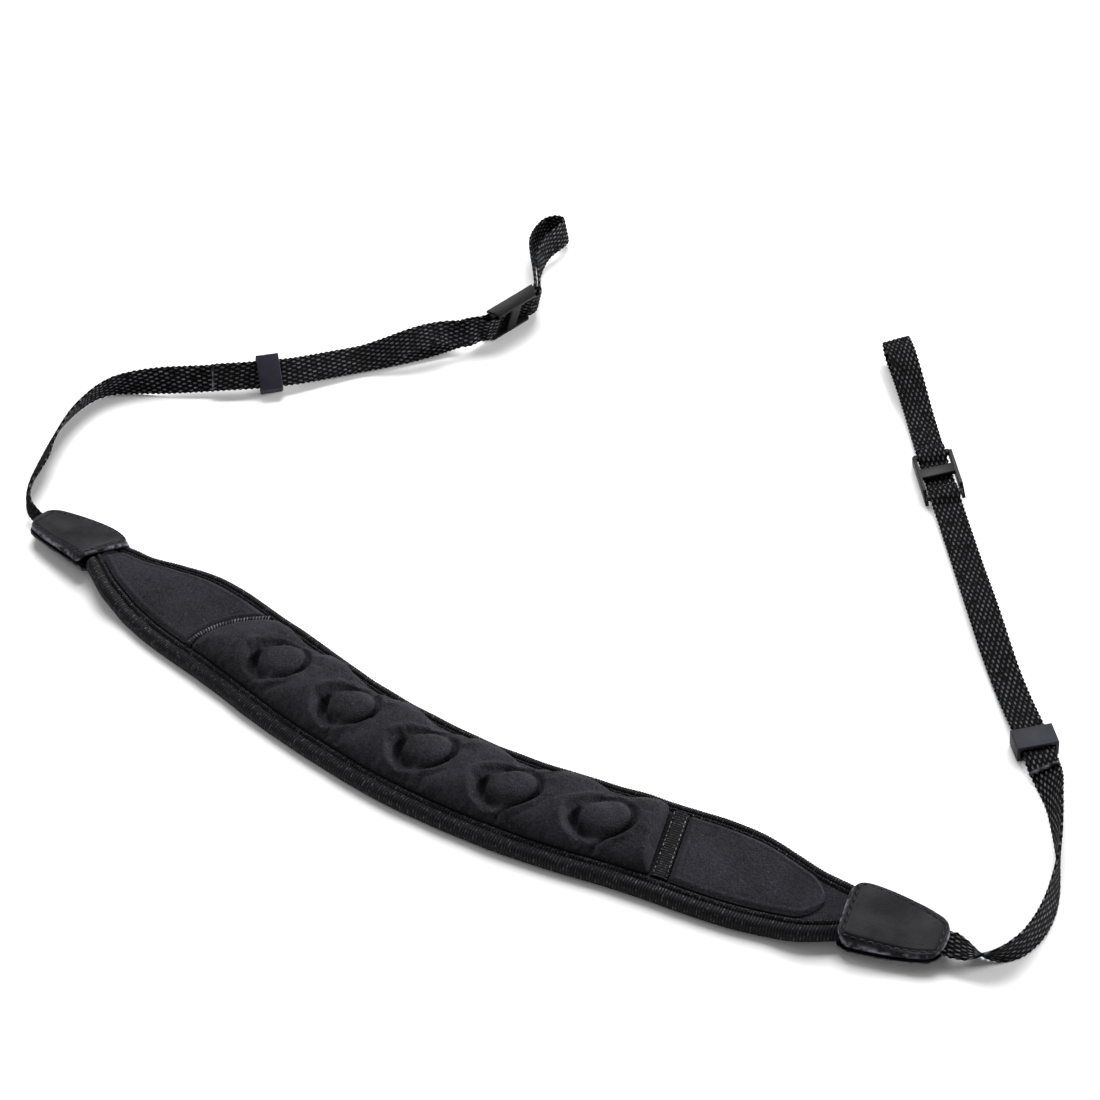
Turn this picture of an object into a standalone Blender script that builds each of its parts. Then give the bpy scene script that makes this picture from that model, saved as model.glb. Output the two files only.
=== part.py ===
"""Camera neck strap laid out on a flat surface.

A padded neoprene neck piece with five button cells lies in front.  From the leather tab at
each of its ends a narrow woven band runs back, through a square keeper and a three-bar
slide buckle, and folds over into the open loop that takes a camera's lug.

Lengths are in metres, with Z up.  X runs to the right and Y away from the front.
"""

import bpy
import bmesh
from collections import namedtuple
from math import atan2, cos, degrees, exp, hypot, pi, radians, sin
from mathutils import Matrix, Vector

MM = 0.001


def table(columns, rows):
    """A table of numbers whose rows are read by the names of its columns."""
    row_type = namedtuple("row_type", columns)
    return [row_type(*row) for row in rows]


def table_by_end(columns, rows):
    """A table with one row for each end of the strap, found by the end's name."""
    return {row.end: row for row in table("end " + columns, rows)}


# ---------------------------------------------------------------- lay-out of the strap
LAYOUT_SHIFT = (13.26, -2.99)        # mm, brings the middle of the outline to the origin
PAD_CENTRE = (-41.0, -105.9)       # mm, middle of the neck pad before that shift
PAD_TURN = radians(-33.2)          # the pad's long direction, from X
CLEARANCE = 0.3 * MM               # gap between pieces that rest on each other

# Heading of the pad's centre line, degrees from the long direction, by place along it.
SPINE = table("along_mm heading_deg", [
    (-186.0, -1.5),
    (-150.0, -7.0),
    (-62.0, -8.9),
    (62.0, 8.9),
    (186.0, 8.9),
])

# How far the pad's outline lies towards the far side of that line.
SWAY = table("along_mm sway_mm", [
    (-186.0, 1.0),
    (-160.0, 0.4),
    (-139.0, -1.7),
    (-128.0, 0.2),
    (-116.0, 1.5),
    (-92.0, 1.8),
    (-64.0, 1.1),
    (-14.0, -0.6),
    (14.0, -0.6),
    (36.0, 0.0),
    (56.0, 1.2),
    (80.0, 2.3),
    (110.0, 2.1),
    (124.0, 1.0),
    (136.0, -1.2),
    (150.0, 0.7),
    (178.0, 1.6),
])

# ---------------------------------------------------------------- neck pad
PAD_THICK = 4.2 * MM               # neoprene base
PAD_WIDTH = table("along_mm half_width_mm", [
    (0.0, 19.5),
    (24.0, 19.3),
    (56.0, 19.6),
    (84.0, 19.4),
    (100.0, 19.6),
    (112.0, 19.0),
    (120.0, 17.6),
    (128.0, 15.5),
    (136.0, 12.9),
    (143.0, 10.6),
    (151.0, 8.0),
])
BINDING_THICK = 0.9 * MM
BINDING_LEG = 4.2 * MM             # how far the tape reaches in over the pad
BINDING_HEIGHT = 5.0 * MM
PANEL_INSET = BINDING_LEG + CLEARANCE
PANEL_FLOOR = PAD_THICK + CLEARANCE

CUSHION_START, CUSHION_END = -90.5 * MM, 82.5 * MM
CUSHION_EDGE = 0.9 * MM            # thickness of the cushion at its sewn edge
CUSHION_SWELL = 5.2 * MM           # mean rise of the filling above that
CUSHION_WAVE = 0.16                # share of it that comes and goes between the buttons
LEFT_SLANT, RIGHT_SLANT = 0.33, -0.085

BUTTON_PITCH = 32.3 * MM
BUTTON_COUNT = 5
BUTTON_SHIFT = 0.8 * MM            # the row's middle lies this far right of the pad's
GROOVE_LONG, GROOVE_CROSS = 10.3 * MM, 8.4 * MM
GROOVE_WIDTH = 2.1 * MM
GROOVE_DEPTH = 3.6 * MM
GROOVE_TURN = radians(172.0)       # deepest where the cells are pinched, along the strap

WING_RISE = 1.5 * MM
WING_OUTER_LEFT, WING_OUTER_RIGHT = -147.0 * MM, 138.5 * MM
SEAM_WIDTH, SEAM_RISE = 2.2 * MM, 1.7 * MM
TAPE_WIDTH, TAPE_RISE = 6.5 * MM, 1.1 * MM

# ---------------------------------------------------------------- leather tabs
LEATHER = 1.2 * MM
TAB_MIDDLE = BINDING_HEIGHT / 2    # height of the plane between the two leathers
TAB_WIDTH = table("share_of_length half_width_mm", [
    (0.00, 10.2),
    (0.05, 11.3),
    (0.14, 11.7),
    (0.32, 11.4),
    (0.52, 10.6),
    (0.70, 9.5),
    (0.84, 8.2),
    (0.93, 7.0),
    (0.98, 5.7),
    (1.00, 4.6),
])
TAB_LOWER_MARGIN = 0.5 * MM        # the lower leather shows past the upper one

# Each end: place of the tab, its slant, and how the end is rolled and lifted by the band.
ENDS = table_by_end("side tab_start_mm tab_tip_mm slant roll_deg tip_lift_mm", [
    ("left", -1, 149.6, 184.5, 0.32, -9.0, -1.4),
    ("right", 1, 145.0, 177.0, 0.03, 7.0, 0.4),
])
PAD_END = 150.5 * MM
ROLL_FROM, ROLL_TO = 122.0 * MM, 147.0 * MM

# ---------------------------------------------------------------- woven band
BAND_WIDTH = 10.4 * MM
BAND_THICK = 1.25 * MM
BAND_FLAT = 0.92                   # share of its width over which the band is flat
BAND_STEP = 5.2 * MM
BAND_START = 160.0                 # mm along the pad, where the band begins in its tab
BAND_PAST_TIP = (-12.0, -1.0, 2.6)  # mm past the tab's tip, where it still lies as the tab does
LAYER_PITCH = BAND_THICK + CLEARANCE
LOOP_RADIUS = 4.9 * MM

# Route of each band from its tab's tip: place on the floor, lean from lying flat, and
# how much higher it runs than a band that rests with its lower edge on the floor.
ROUTE = {
    "right": table("x_mm y_mm lean_deg lift_mm", [
        (126.0, -184.3, -29.0, 1.2),
        (129.0, -185.3, -54.0, 0.2),
        (132.1, -185.4, -69.0, 0.0),
        (136.4, -184.4, -87.0, 0.0),
        (141.8, -181.0, -101.0, 0.0),
        (147.5, -174.3, -110.0, 0.0),
        (151.9, -166.3, -111.0, 0.0),
        (154.7, -158.6, -107.0, 0.0),
        (156.9, -149.8, -98.0, 0.0),
        (158.3, -141.1, -88.0, 0.0),
        (159.3, -131.0, -78.0, 0.0),
        (159.8, -122.5, -66.0, 0.0),
        (159.6, -114.5, -42.0, 0.3),
        (158.6, -106.4, -14.0, 1.8),
        (157.4, -97.9, -6.0, 2.2),
        (156.2, -89.9, -5.0, 1.9),
        (154.0, -73.7, -5.0, 0.3),
        (151.5, -54.0, -6.0, 0.2),
        (148.8, -26.3, -8.0, 0.2),
        (145.7, 5.5, -10.0, 0.3),
        (144.0, 21.0, -11.0, 0.7),
        (142.4, 36.2, -12.0, 1.1),
        (141.1, 52.7, -12.0, 0.9),
        (140.0, 69.3, -12.0, 0.4),
        (138.7, 85.3, -12.0, 0.3),
        (137.0, 101.1, -12.0, 0.5),
        (135.4, 111.5, -12.0, 0.9),
    ]),
    "left": table("x_mm y_mm lean_deg lift_mm", [
        (-187.0, 16.6, 125.0, 0.4),
        (-188.7, 22.3, 106.0, 0.0),
        (-189.0, 29.2, 114.0, 0.0),
        (-188.2, 36.5, 125.0, 0.0),
        (-187.0, 43.8, 128.0, 0.0),
        (-186.2, 50.1, 123.0, 0.0),
        (-185.1, 56.2, 121.0, 0.0),
        (-183.3, 64.1, 120.0, 0.0),
        (-180.8, 71.2, 118.0, 0.0),
        (-177.0, 78.4, 116.0, 0.0),
        (-172.7, 84.0, 112.0, 0.0),
        (-167.2, 87.8, 103.0, 0.0),
        (-160.6, 89.6, 88.0, 0.1),
        (-153.0, 90.5, 71.0, 0.4),
        (-145.4, 91.1, 56.0, 0.9),
        (-137.9, 91.5, 46.0, 1.5),
        (-130.2, 91.8, 42.0, 2.0),
        (-115.7, 92.7, 40.0, 2.5),
        (-108.0, 94.0, 39.0, 2.4),
        (-100.2, 96.0, 37.0, 1.9),
        (-92.7, 98.9, 35.0, 1.3),
        (-77.6, 105.0, 30.0, 0.5),
        (-62.3, 110.4, 25.0, 0.3),
        (-54.7, 113.3, 22.0, 0.3),
        (-47.8, 116.1, 22.0, 0.5),
        (-41.2, 118.5, 28.0, 1.0),
        (-36.3, 118.9, 46.0, 1.9),
        (-31.1, 119.8, 76.0, 2.8),
        (-26.1, 122.5, 101.0, 3.2),
        (-21.6, 126.9, 106.0, 3.2),
        (-17.0, 131.6, 106.0, 3.2),
        (-12.4, 136.3, 106.0, 3.2),
        (-8.0, 140.9, 103.0, 3.1),
        (-6.0, 148.6, 93.0, 1.8),
        (-6.2, 159.2, 85.0, 0.8),
        (-7.0, 169.4, 80.0, 0.4),
        (-7.0, 178.5, 77.0, 0.4),
        (-5.3, 185.2, 77.0, 0.4),
        (-2.5, 190.8, 77.0, 0.4),
        (0.8, 195.1, 77.0, 0.4),
    ]),
}

# How far apart the band's two layers lie, by distance from the loop's end.
LAYERS = {
    "right": table("from_end_mm apart_mm", [
        (4.9, 9.8),
        (11.0, 10.6),
        (18.0, 9.4),
        (27.0, 6.0),
        (36.0, 3.2),
        (46.0, 1.5),
    ]),
    "left": table("from_end_mm apart_mm", [
        (4.9, 9.8),
        (10.0, 9.6),
        (17.0, 7.2),
        (25.0, 4.0),
        (34.0, 1.5),
    ]),
}

# The place on each band where the upper layer arches off the lower one.
SWELLS = table_by_end("middle_mm reach_mm rise_mm", [
    ("right", 150.0, 30.0, 1.6),
    ("left", 108.0, 27.0, 6.4),
])

# Where the hardware sits, from the loop's end, and the tail that shows past the keeper.
HARDWARE = table_by_end("buckle_mm keeper_mm tail_mm", [
    ("right", 75.7, 210.6, 13.0),
    ("left", 69.3, 169.3, 21.8),
])

# ---------------------------------------------------------------- keeper and buckle
KEEPER_LONG, KEEPER_WIDE, KEEPER_TALL = 8.7 * MM, 14.0 * MM, 6.2 * MM
KEEPER_WALL = 1.2 * MM
KEEPER_ROUND = 0.9 * MM

BUCKLE_LONG, BUCKLE_WIDE = 25.0 * MM, 14.8 * MM
RAIL_WIDE, RAIL_TALL = 1.3 * MM, 5.2 * MM
RAIL_TOP = 4.4 * MM                # above the middle of the band's lower layer
RAIL_TAPER = 3.0 * MM              # length over which a rail's end slopes
END_BAR_LONG, END_BAR_THICK = 2.6 * MM, 1.7 * MM
MIDDLE_BAR_LONG, MIDDLE_BAR_THICK = 5.2 * MM, 1.7 * MM


# ================================================================ small helpers
def lerp(a, b, share):
    return a + (b - a) * share


def smooth(value, low, high):
    """0 below low, 1 above high, and an S-shaped rise between them."""
    share = min(1.0, max(0.0, (value - low) / (high - low)))
    return share * share * (3.0 - 2.0 * share)


def table_value(rows, place):
    """Value of a two-column table at a place, on a smooth curve through its rows."""
    if place <= rows[0][0]:
        return rows[0][1]
    if place >= rows[-1][0]:
        return rows[-1][1]
    row = next(k for k in range(len(rows) - 1) if place <= rows[k + 1][0])
    before, start, stop, after = (rows[min(max(row + d, 0), len(rows) - 1)] for d in (-1, 0, 1, 2))
    share = (place - start[0]) / (stop[0] - start[0])
    leave = (stop[1] - before[1]) / (stop[0] - before[0]) * (stop[0] - start[0])
    reach = (after[1] - start[1]) / (after[0] - start[0]) * (stop[0] - start[0])
    return (
        (2 * share**3 - 3 * share**2 + 1) * start[1]
        + (share**3 - 2 * share**2 + share) * leave
        + (3 * share**2 - 2 * share**3) * stop[1]
        + (share**3 - share**2) * reach
    )


def finish(name, hex_colour, roughness):
    """A plain moulded, woven or leather finish."""
    surface = bpy.data.materials.new(name)
    surface.use_nodes = True
    shader = surface.node_tree.nodes["Principled BSDF"]
    channels = [int(hex_colour[k:k + 2], 16) / 255 for k in (1, 3, 5)]
    linear = [c / 12.92 if c <= 0.04045 else ((c + 0.055) / 1.055) ** 2.4 for c in channels]
    shader.inputs["Base Color"].default_value = (*linear, 1.0)
    shader.inputs["Roughness"].default_value = roughness
    shader.inputs["Metallic"].default_value = 0.0
    surface.diffuse_color = (*linear, 1.0)
    return surface


def solid(name, points, faces, surface):
    """One closed mesh object from points and faces, with its faces turned outwards."""
    mesh = bpy.data.meshes.new(name)
    mesh.from_pydata([tuple(p) for p in points], [], faces)
    shape = bmesh.new()
    shape.from_mesh(mesh)
    loose = [v for v in shape.verts if not v.link_faces]
    bmesh.ops.delete(shape, geom=loose, context="VERTS")
    bmesh.ops.recalc_face_normals(shape, faces=shape.faces)
    shape.to_mesh(mesh)
    shape.free()
    mesh.shade_smooth()
    mesh.set_sharp_from_angle(angle=radians(40))
    mesh.materials.append(surface)
    piece = bpy.data.objects.new(name, mesh)
    bpy.context.scene.collection.objects.link(piece)
    return piece


def lofted(name, rings, surface):
    """A solid through a row of rings with equal point counts, capped at both ends."""
    count = len(rings[0])
    points = [p for ring in rings for p in ring]
    faces = [tuple(reversed(range(count))), tuple(range(len(points) - count, len(points)))]
    for row in range(len(rings) - 1):
        for k in range(count):
            near, far = row * count, (row + 1) * count
            turn = (k + 1) % count
            faces.append((near + k, near + turn, far + turn, far + k))
    return solid(name, points, faces, surface)


# ================================================================ the pad's own space
def spine_heading(along):
    """Heading of the pad's centre line, in radians from X."""
    place = min(max(along / MM, SPINE[0].along_mm), SPINE[-1].along_mm)
    before, after = next(pair for pair in zip(SPINE, SPINE[1:]) if place <= pair[1].along_mm)
    share = (place - before.along_mm) / (after.along_mm - before.along_mm)
    return PAD_TURN + radians(lerp(before.heading_deg, after.heading_deg, share))


def spine_place(along, strides=40):
    """Point of the centre line on the floor, walked out from the pad's middle."""
    x = (PAD_CENTRE[0] + LAYOUT_SHIFT[0]) * MM
    y = (PAD_CENTRE[1] + LAYOUT_SHIFT[1]) * MM
    for k in range(strides):
        heading = spine_heading(along * (k + 0.5) / strides)
        x += cos(heading) * along / strides
        y += sin(heading) * along / strides
    return x, y


def end_row(along):
    return ENDS["left" if along < 0 else "right"]


def end_roll(along):
    """Roll of the pad about its centre line, which only its ends have."""
    return radians(end_row(along).roll_deg) * smooth(abs(along), ROLL_FROM, ROLL_TO)


def end_lift(along):
    """Height that the lower leather and the band's pull give the pad's ends."""
    row = end_row(along)
    under = LEATHER + CLEARANCE
    widest = max(width.half_width_mm for width in TAB_WIDTH) * MM
    rolled = abs(sin(radians(row.roll_deg))) * widest
    rise = (under + rolled) * smooth(abs(along), ROLL_FROM, row.tab_start_mm * MM - 5 * MM)
    return rise + row.tip_lift_mm * MM * smooth(abs(along), PAD_END, row.tab_tip_mm * MM)


def on_pad(along, across, height):
    """World point of a place on the pad: along it, across it (+ is the far side), above it."""
    x, y = spine_place(along)
    heading, roll = spine_heading(along), end_roll(along)
    sway = table_value(SWAY, along / MM) * MM
    level = sway + across * cos(roll) - height * sin(roll)
    rise = across * sin(roll) + height * cos(roll) + end_lift(along)
    return Vector((x - sin(heading) * level, y + cos(heading) * level, rise))


def pad_half_width(along):
    return table_value(PAD_WIDTH, abs(along) / MM) * MM


def panel_half_width(along):
    return pad_half_width(along) - PANEL_INSET


def slab(name, surface, length, slants, half_width, lower, upper, steps, lanes, flat=False):
    """A closed sheet on the pad between two height functions, in steps along and lanes across.

    length holds its two ends at the middle, slants how far each end leans along the pad
    for each metre across it.  A flat sheet's underside is one plane face.
    """
    grid = []
    for row in range(steps + 1):
        share = row / steps
        middle = lerp(*length, share)
        slant = lerp(*slants, share)
        for lane in range(lanes + 1):
            side = sin((lane / lanes - 0.5) * pi)
            along = middle + slant * side * half_width(middle)
            grid.append((along, side * half_width(along)))
    floor = [on_pad(a, c, lower(a, c)) for a, c in grid]
    top = [on_pad(a, c, upper(a, c)) for a, c in grid]
    wide, count = lanes + 1, len(grid)
    faces = []
    for row in range(steps):
        for lane in range(lanes):
            k = row * wide + lane
            if not flat:
                faces.append((k, k + 1, k + 1 + wide, k + wide))
            faces.append(tuple(count + v for v in (k + wide, k + wide + 1, k + 1, k)))
    border = (
        list(range(wide))
        + [row * wide + lanes for row in range(1, steps + 1)]
        + [steps * wide + lane for lane in range(lanes - 1, -1, -1)]
        + [row * wide for row in range(steps - 1, 0, -1)]
    )
    if flat:
        faces.append(tuple(border))
    for k, v in enumerate(border):
        after = border[(k + 1) % len(border)]
        faces.append((after, v, v + count, after + count))
    return solid(name, floor + top, faces, surface)


# ================================================================ neck pad
def pad_stations(spacing=7.5 * MM):
    count = round(2 * PAD_END / spacing)
    return [lerp(-PAD_END, PAD_END, k / count) for k in range(count + 1)]


def build_pad_base(surface):
    """Neoprene base: full thickness in the middle, pressed thin where the tape folds over."""
    rim_low = BINDING_THICK + CLEARANCE
    rim_high = BINDING_HEIGHT - BINDING_THICK - CLEARANCE
    rim_out = BINDING_THICK + CLEARANCE
    rings = []
    for along in pad_stations():
        half = pad_half_width(along)
        side = [
            (half - PANEL_INSET, 0.0),
            (half - PANEL_INSET, rim_low),
            (half - rim_out, rim_low),
            (half - rim_out, rim_high),
            (half - PANEL_INSET, rim_high),
            (half - PANEL_INSET, PAD_THICK),
        ]
        outline = side + [(-across, height) for across, height in reversed(side)]
        rings.append([on_pad(along, across, height) for across, height in outline])
    return lofted("pad_base", rings, surface)


def build_binding(name, side, surface):
    """Woven tape folded round one long edge of the pad; side is 1 for the far edge."""
    thick, leg, tall = BINDING_THICK, BINDING_LEG, BINDING_HEIGHT
    fold = [
        (leg, thick),
        (leg, 0.0),
        (0.35 * leg, 0.0),
        (0.08 * leg, 0.22 * tall),
        (0.0, 0.5 * tall),
        (0.08 * leg, 0.8 * tall),
        (0.35 * leg, tall),
        (0.75 * leg, tall),
        (leg, 0.93 * tall),
        (leg, tall - thick),
        (thick, tall - thick),
        (thick, thick),
    ]
    rings = []
    for along in pad_stations():
        half = pad_half_width(along)
        rings.append([on_pad(along, side * (half - inward), height) for inward, height in fold])
    return lofted(name, rings, surface)


def button_places():
    middle = (BUTTON_COUNT - 1) / 2
    return [BUTTON_SHIFT + (k - middle) * BUTTON_PITCH for k in range(BUTTON_COUNT)]


def cushion_top(along, across):
    """Height of the cushion: swells between the buttons, a dome in a groove at each of them."""
    side = across / panel_half_width(along)
    crown = max(0.0, 1.0 - abs(side) ** 2.6) ** 0.55
    start = CUSHION_START + LEFT_SLANT * across
    end = CUSHION_END + RIGHT_SLANT * across
    left = min(1.0, max(0.0, (along - start) / (20 * MM)))
    right = min(1.0, max(0.0, (end - along) / (7 * MM)))
    ends = (1.0 - (1.0 - left) ** 2) ** 0.8 * (1.0 - (1.0 - right) ** 2.4) ** 0.6
    wave = 1.0 - CUSHION_WAVE * cos(2 * pi * (along - BUTTON_SHIFT) / BUTTON_PITCH)
    height = CUSHION_SWELL * wave * crown * ends
    for place in button_places():
        long_way = along - place
        reach = hypot(long_way / GROOVE_LONG, across / GROOVE_CROSS)
        if reach > 2.5:
            continue
        turn = abs(cos(atan2(across, long_way) - GROOVE_TURN))
        depth = GROOVE_DEPTH * (0.35 + 0.65 * turn)
        off_ring = (reach - 1.0) * GROOVE_LONG / GROOVE_WIDTH
        height -= depth * exp(-off_ring * off_ring) * crown
        height += 0.7 * MM * exp(-(reach * 1.5) ** 4)
    return PANEL_FLOOR + CUSHION_EDGE + max(0.0, height)


def wing_top(along, across):
    """Height of a wing: flat, with a rounded edge towards the binding."""
    gap = panel_half_width(along) - abs(across)
    return PANEL_FLOOR + WING_RISE * (0.45 + 0.55 * smooth(gap, 0.0, 2.2 * MM))


def panel_floor(along, across):
    return PANEL_FLOOR


def build_cushion(surface):
    return slab(
        "cushion_panel", surface, (CUSHION_START, CUSHION_END), (LEFT_SLANT, RIGHT_SLANT),
        panel_half_width, panel_floor, cushion_top, steps=66, lanes=10, flat=True,
    )


def build_wings(surface):
    inner_left = CUSHION_START - SEAM_WIDTH - 2 * CLEARANCE
    inner_right = CUSHION_END + TAPE_WIDTH + 2 * CLEARANCE
    slab(
        "wing_panel_left", surface, (WING_OUTER_LEFT, inner_left),
        (ENDS["left"].slant, LEFT_SLANT), panel_half_width, panel_floor, wing_top,
        steps=10, lanes=6,
    )

    def rounded_half_width(along):
        """The right wing closes in a round end short of the tab."""
        gap = max(0.0, WING_OUTER_RIGHT - along) / (9 * MM)
        return panel_half_width(along) * max(0.3, 1.0 - max(0.0, 1.0 - gap) ** 2.4)

    slab(
        "wing_panel_right", surface, (inner_right, WING_OUTER_RIGHT), (RIGHT_SLANT, 0.0),
        rounded_half_width, panel_floor, wing_top, steps=12, lanes=6,
    )


def build_cross_pieces(thread, tape):
    """The overcast seam at the cushion's left end and the tape at its right end."""
    seam_middle = CUSHION_START - CLEARANCE - SEAM_WIDTH / 2
    tape_middle = CUSHION_END + CLEARANCE + TAPE_WIDTH / 2

    def ridge(middle, slant, width, rise, power):
        def top(along, across):
            off = abs(along - middle - slant * across) / (width / 2)
            return PANEL_FLOOR + rise * (0.45 + 0.55 * max(0.0, 1.0 - off**power) ** 0.5)
        return top

    for name, surface, middle, slant, width, rise, power, steps in (
        ("end_seam_left", thread, seam_middle, LEFT_SLANT, SEAM_WIDTH, SEAM_RISE, 2, 4),
        ("cross_tape_right", tape, tape_middle, RIGHT_SLANT, TAPE_WIDTH, TAPE_RISE, 6, 6),
    ):
        slab(
            name, surface, (middle - width / 2, middle + width / 2), (slant, slant),
            panel_half_width, panel_floor, ridge(middle, slant, width, rise, power),
            steps=steps, lanes=6, flat=True,
        )


# ================================================================ leather tabs
def build_tab(end, surface):
    """Two leathers sewn over the pad's end, with the band between them at the tip."""
    row = ENDS[end]
    side, start, tip = row.side, row.tab_start_mm * MM, row.tab_tip_mm * MM

    def half_width(along, margin=0.0):
        share = (abs(along) - start) / (tip - start)
        return table_value(TAB_WIDTH, share) * MM + margin

    def lower_half_width(along):
        return half_width(along, TAB_LOWER_MARGIN)

    def half_gap(along, across):
        """Half the space between the leathers: over the pad's end, the band and the rim."""
        over_pad = BINDING_HEIGHT / 2 + CLEARANCE
        over_band = BAND_THICK / 2 + CLEARANCE
        at_rim = CLEARANCE / 2 + 0.05 * MM
        far, off = abs(along), abs(across)
        pad_edge = pad_half_width(along) + CLEARANCE
        band_edge = BAND_WIDTH / 2 + 0.6 * MM
        pad_share = 1.0 - smooth(off, pad_edge, pad_edge + 2.4 * MM)
        pad_share *= 1.0 - smooth(far, PAD_END + 0.8 * MM, PAD_END + 8.5 * MM)
        band_share = 1.0 - smooth(off, band_edge, band_edge + 2.5 * MM)
        return max(lerp(at_rim, over_band, band_share), lerp(at_rim, over_pad, pad_share))

    def under_top(along, across):
        return TAB_MIDDLE + half_gap(along, across)

    def over_top(along, across):
        return under_top(along, across) + LEATHER

    def over_bottom(along, across):
        return TAB_MIDDLE - half_gap(along, across)

    def under_bottom(along, across):
        return over_bottom(along, across) - LEATHER

    for layer, width, lower, upper in (
        ("top", half_width, under_top, over_top),
        ("bottom", lower_half_width, under_bottom, over_bottom),
    ):
        slab(
            f"tab_{layer}_{end}", surface, (side * start, side * tip),
            (-side * row.slant, 0.0), width, lower, upper, steps=12, lanes=10,
        )


# ================================================================ woven bands
def curve_through(rows, step):
    """Rows of numbers at even distances on a smooth curve through the given rows.

    The first two columns are the place on the floor, by which distance is measured.
    """
    fine = []
    for k in range(len(rows) - 1):
        a, b, c, d = (rows[min(max(k + j, 0), len(rows) - 1)] for j in (-1, 0, 1, 2))
        for part in range(12):
            t = part / 12
            fine.append([
                0.5 * (2 * q + (r - p) * t + (2 * p - 5 * q + 4 * r - s) * t * t
                       + (3 * q - p - 3 * r + s) * t**3)
                for p, q, r, s in zip(a, b, c, d)
            ])
    fine.append(list(rows[-1]))
    gone = [0.0]
    for a, b in zip(fine, fine[1:]):
        gone.append(gone[-1] + hypot(b[0] - a[0], b[1] - a[1]))
    count = round(gone[-1] / step)
    even, k = [], 0
    for n in range(count + 1):
        want = gone[-1] * n / count
        while k < len(gone) - 2 and gone[k + 1] < want:
            k += 1
        share = (want - gone[k]) / (gone[k + 1] - gone[k])
        even.append([lerp(p, q, share) for p, q in zip(fine[k], fine[k + 1])])
    return even, gone[-1]


class Band:
    """The lower layer of one woven band, as places with a direction, a width and a normal."""

    def __init__(self, end):
        self.end = end
        rows = [self.row_in_tab(BAND_START)]
        rows += [self.row_in_tab(ENDS[end].tab_tip_mm + past) for past in BAND_PAST_TIP]
        for row in ROUTE[end]:
            x, y = row.x_mm + LAYOUT_SHIFT[0], row.y_mm + LAYOUT_SHIFT[1]
            height = self.resting_height(row.lean_deg) + row.lift_mm * MM
            rows.append((x * MM, y * MM, height, row.lean_deg))
        self.rows, self.length = curve_through(rows, BAND_STEP)
        self.count = len(self.rows) - 1

    @staticmethod
    def resting_height(lean):
        """Height of the band's middle when its lower edge rests on the floor."""
        turn = radians(lean)
        return BAND_WIDTH / 2 * abs(sin(turn)) + BAND_THICK / 2 * abs(cos(turn))

    def row_in_tab(self, along):
        """The band between the leathers; the left one leaves its tab upside down."""
        side = ENDS[self.end].side
        place = on_pad(side * along * MM, 0.0, TAB_MIDDLE)
        roll = degrees(end_roll(side * along * MM))
        return (place.x, place.y, place.z, roll if side > 0 else 180.0 - roll)

    def frame(self, distance):
        """Place, direction, width direction and normal at a distance from the tab's end."""
        spot = min(max(distance / self.length * self.count, 0.0), float(self.count))
        k = min(int(spot), self.count - 1)
        row = [lerp(p, q, spot - k) for p, q in zip(self.rows[k], self.rows[k + 1])]
        back, front = self.rows[max(k - 1, 0)], self.rows[min(k + 2, self.count)]
        ahead = Vector((front[0] - back[0], front[1] - back[1], 0.0)).normalized()
        left = Vector((-ahead.y, ahead.x, 0.0))
        turn = radians(row[3])
        width = left * cos(turn) + Vector((0, 0, sin(turn)))
        normal = left * -sin(turn) + Vector((0, 0, cos(turn)))
        return Vector(row[:3]), ahead, width, normal

    def from_end(self, distance):
        return self.frame(self.length - distance)

    def placement(self, distance, rise):
        """Matrix of a piece of hardware centred above the band, with its long side along it."""
        place, ahead, width, normal = self.from_end(distance)
        turn = Matrix((width, ahead, normal)).transposed()
        if turn.determinant() < 0:
            turn = Matrix((-width, ahead, normal)).transposed()
        return Matrix.Translation(place + normal * rise) @ turn.to_4x4()


def layer_gap(end, from_end):
    """Distance between the band's two layers, which part in the loop and at the swells."""
    gap = max(LAYER_PITCH, table_value(LAYERS[end], from_end / MM) * MM)
    swell = SWELLS[end]
    off = min(1.0, abs(from_end / MM - swell.middle_mm) / swell.reach_mm)
    gap += swell.rise_mm * MM * (1.0 - off * off) ** 2
    from_buckle = abs(from_end - HARDWARE[end].buckle_mm * MM)
    bar = BUCKLE_LONG / 2 - END_BAR_LONG / 2
    over = END_BAR_THICK + 1.6 * CLEARANCE
    return gap + over * exp(-(((from_buckle - bar) / (4.0 * MM)) ** 4))


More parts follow.
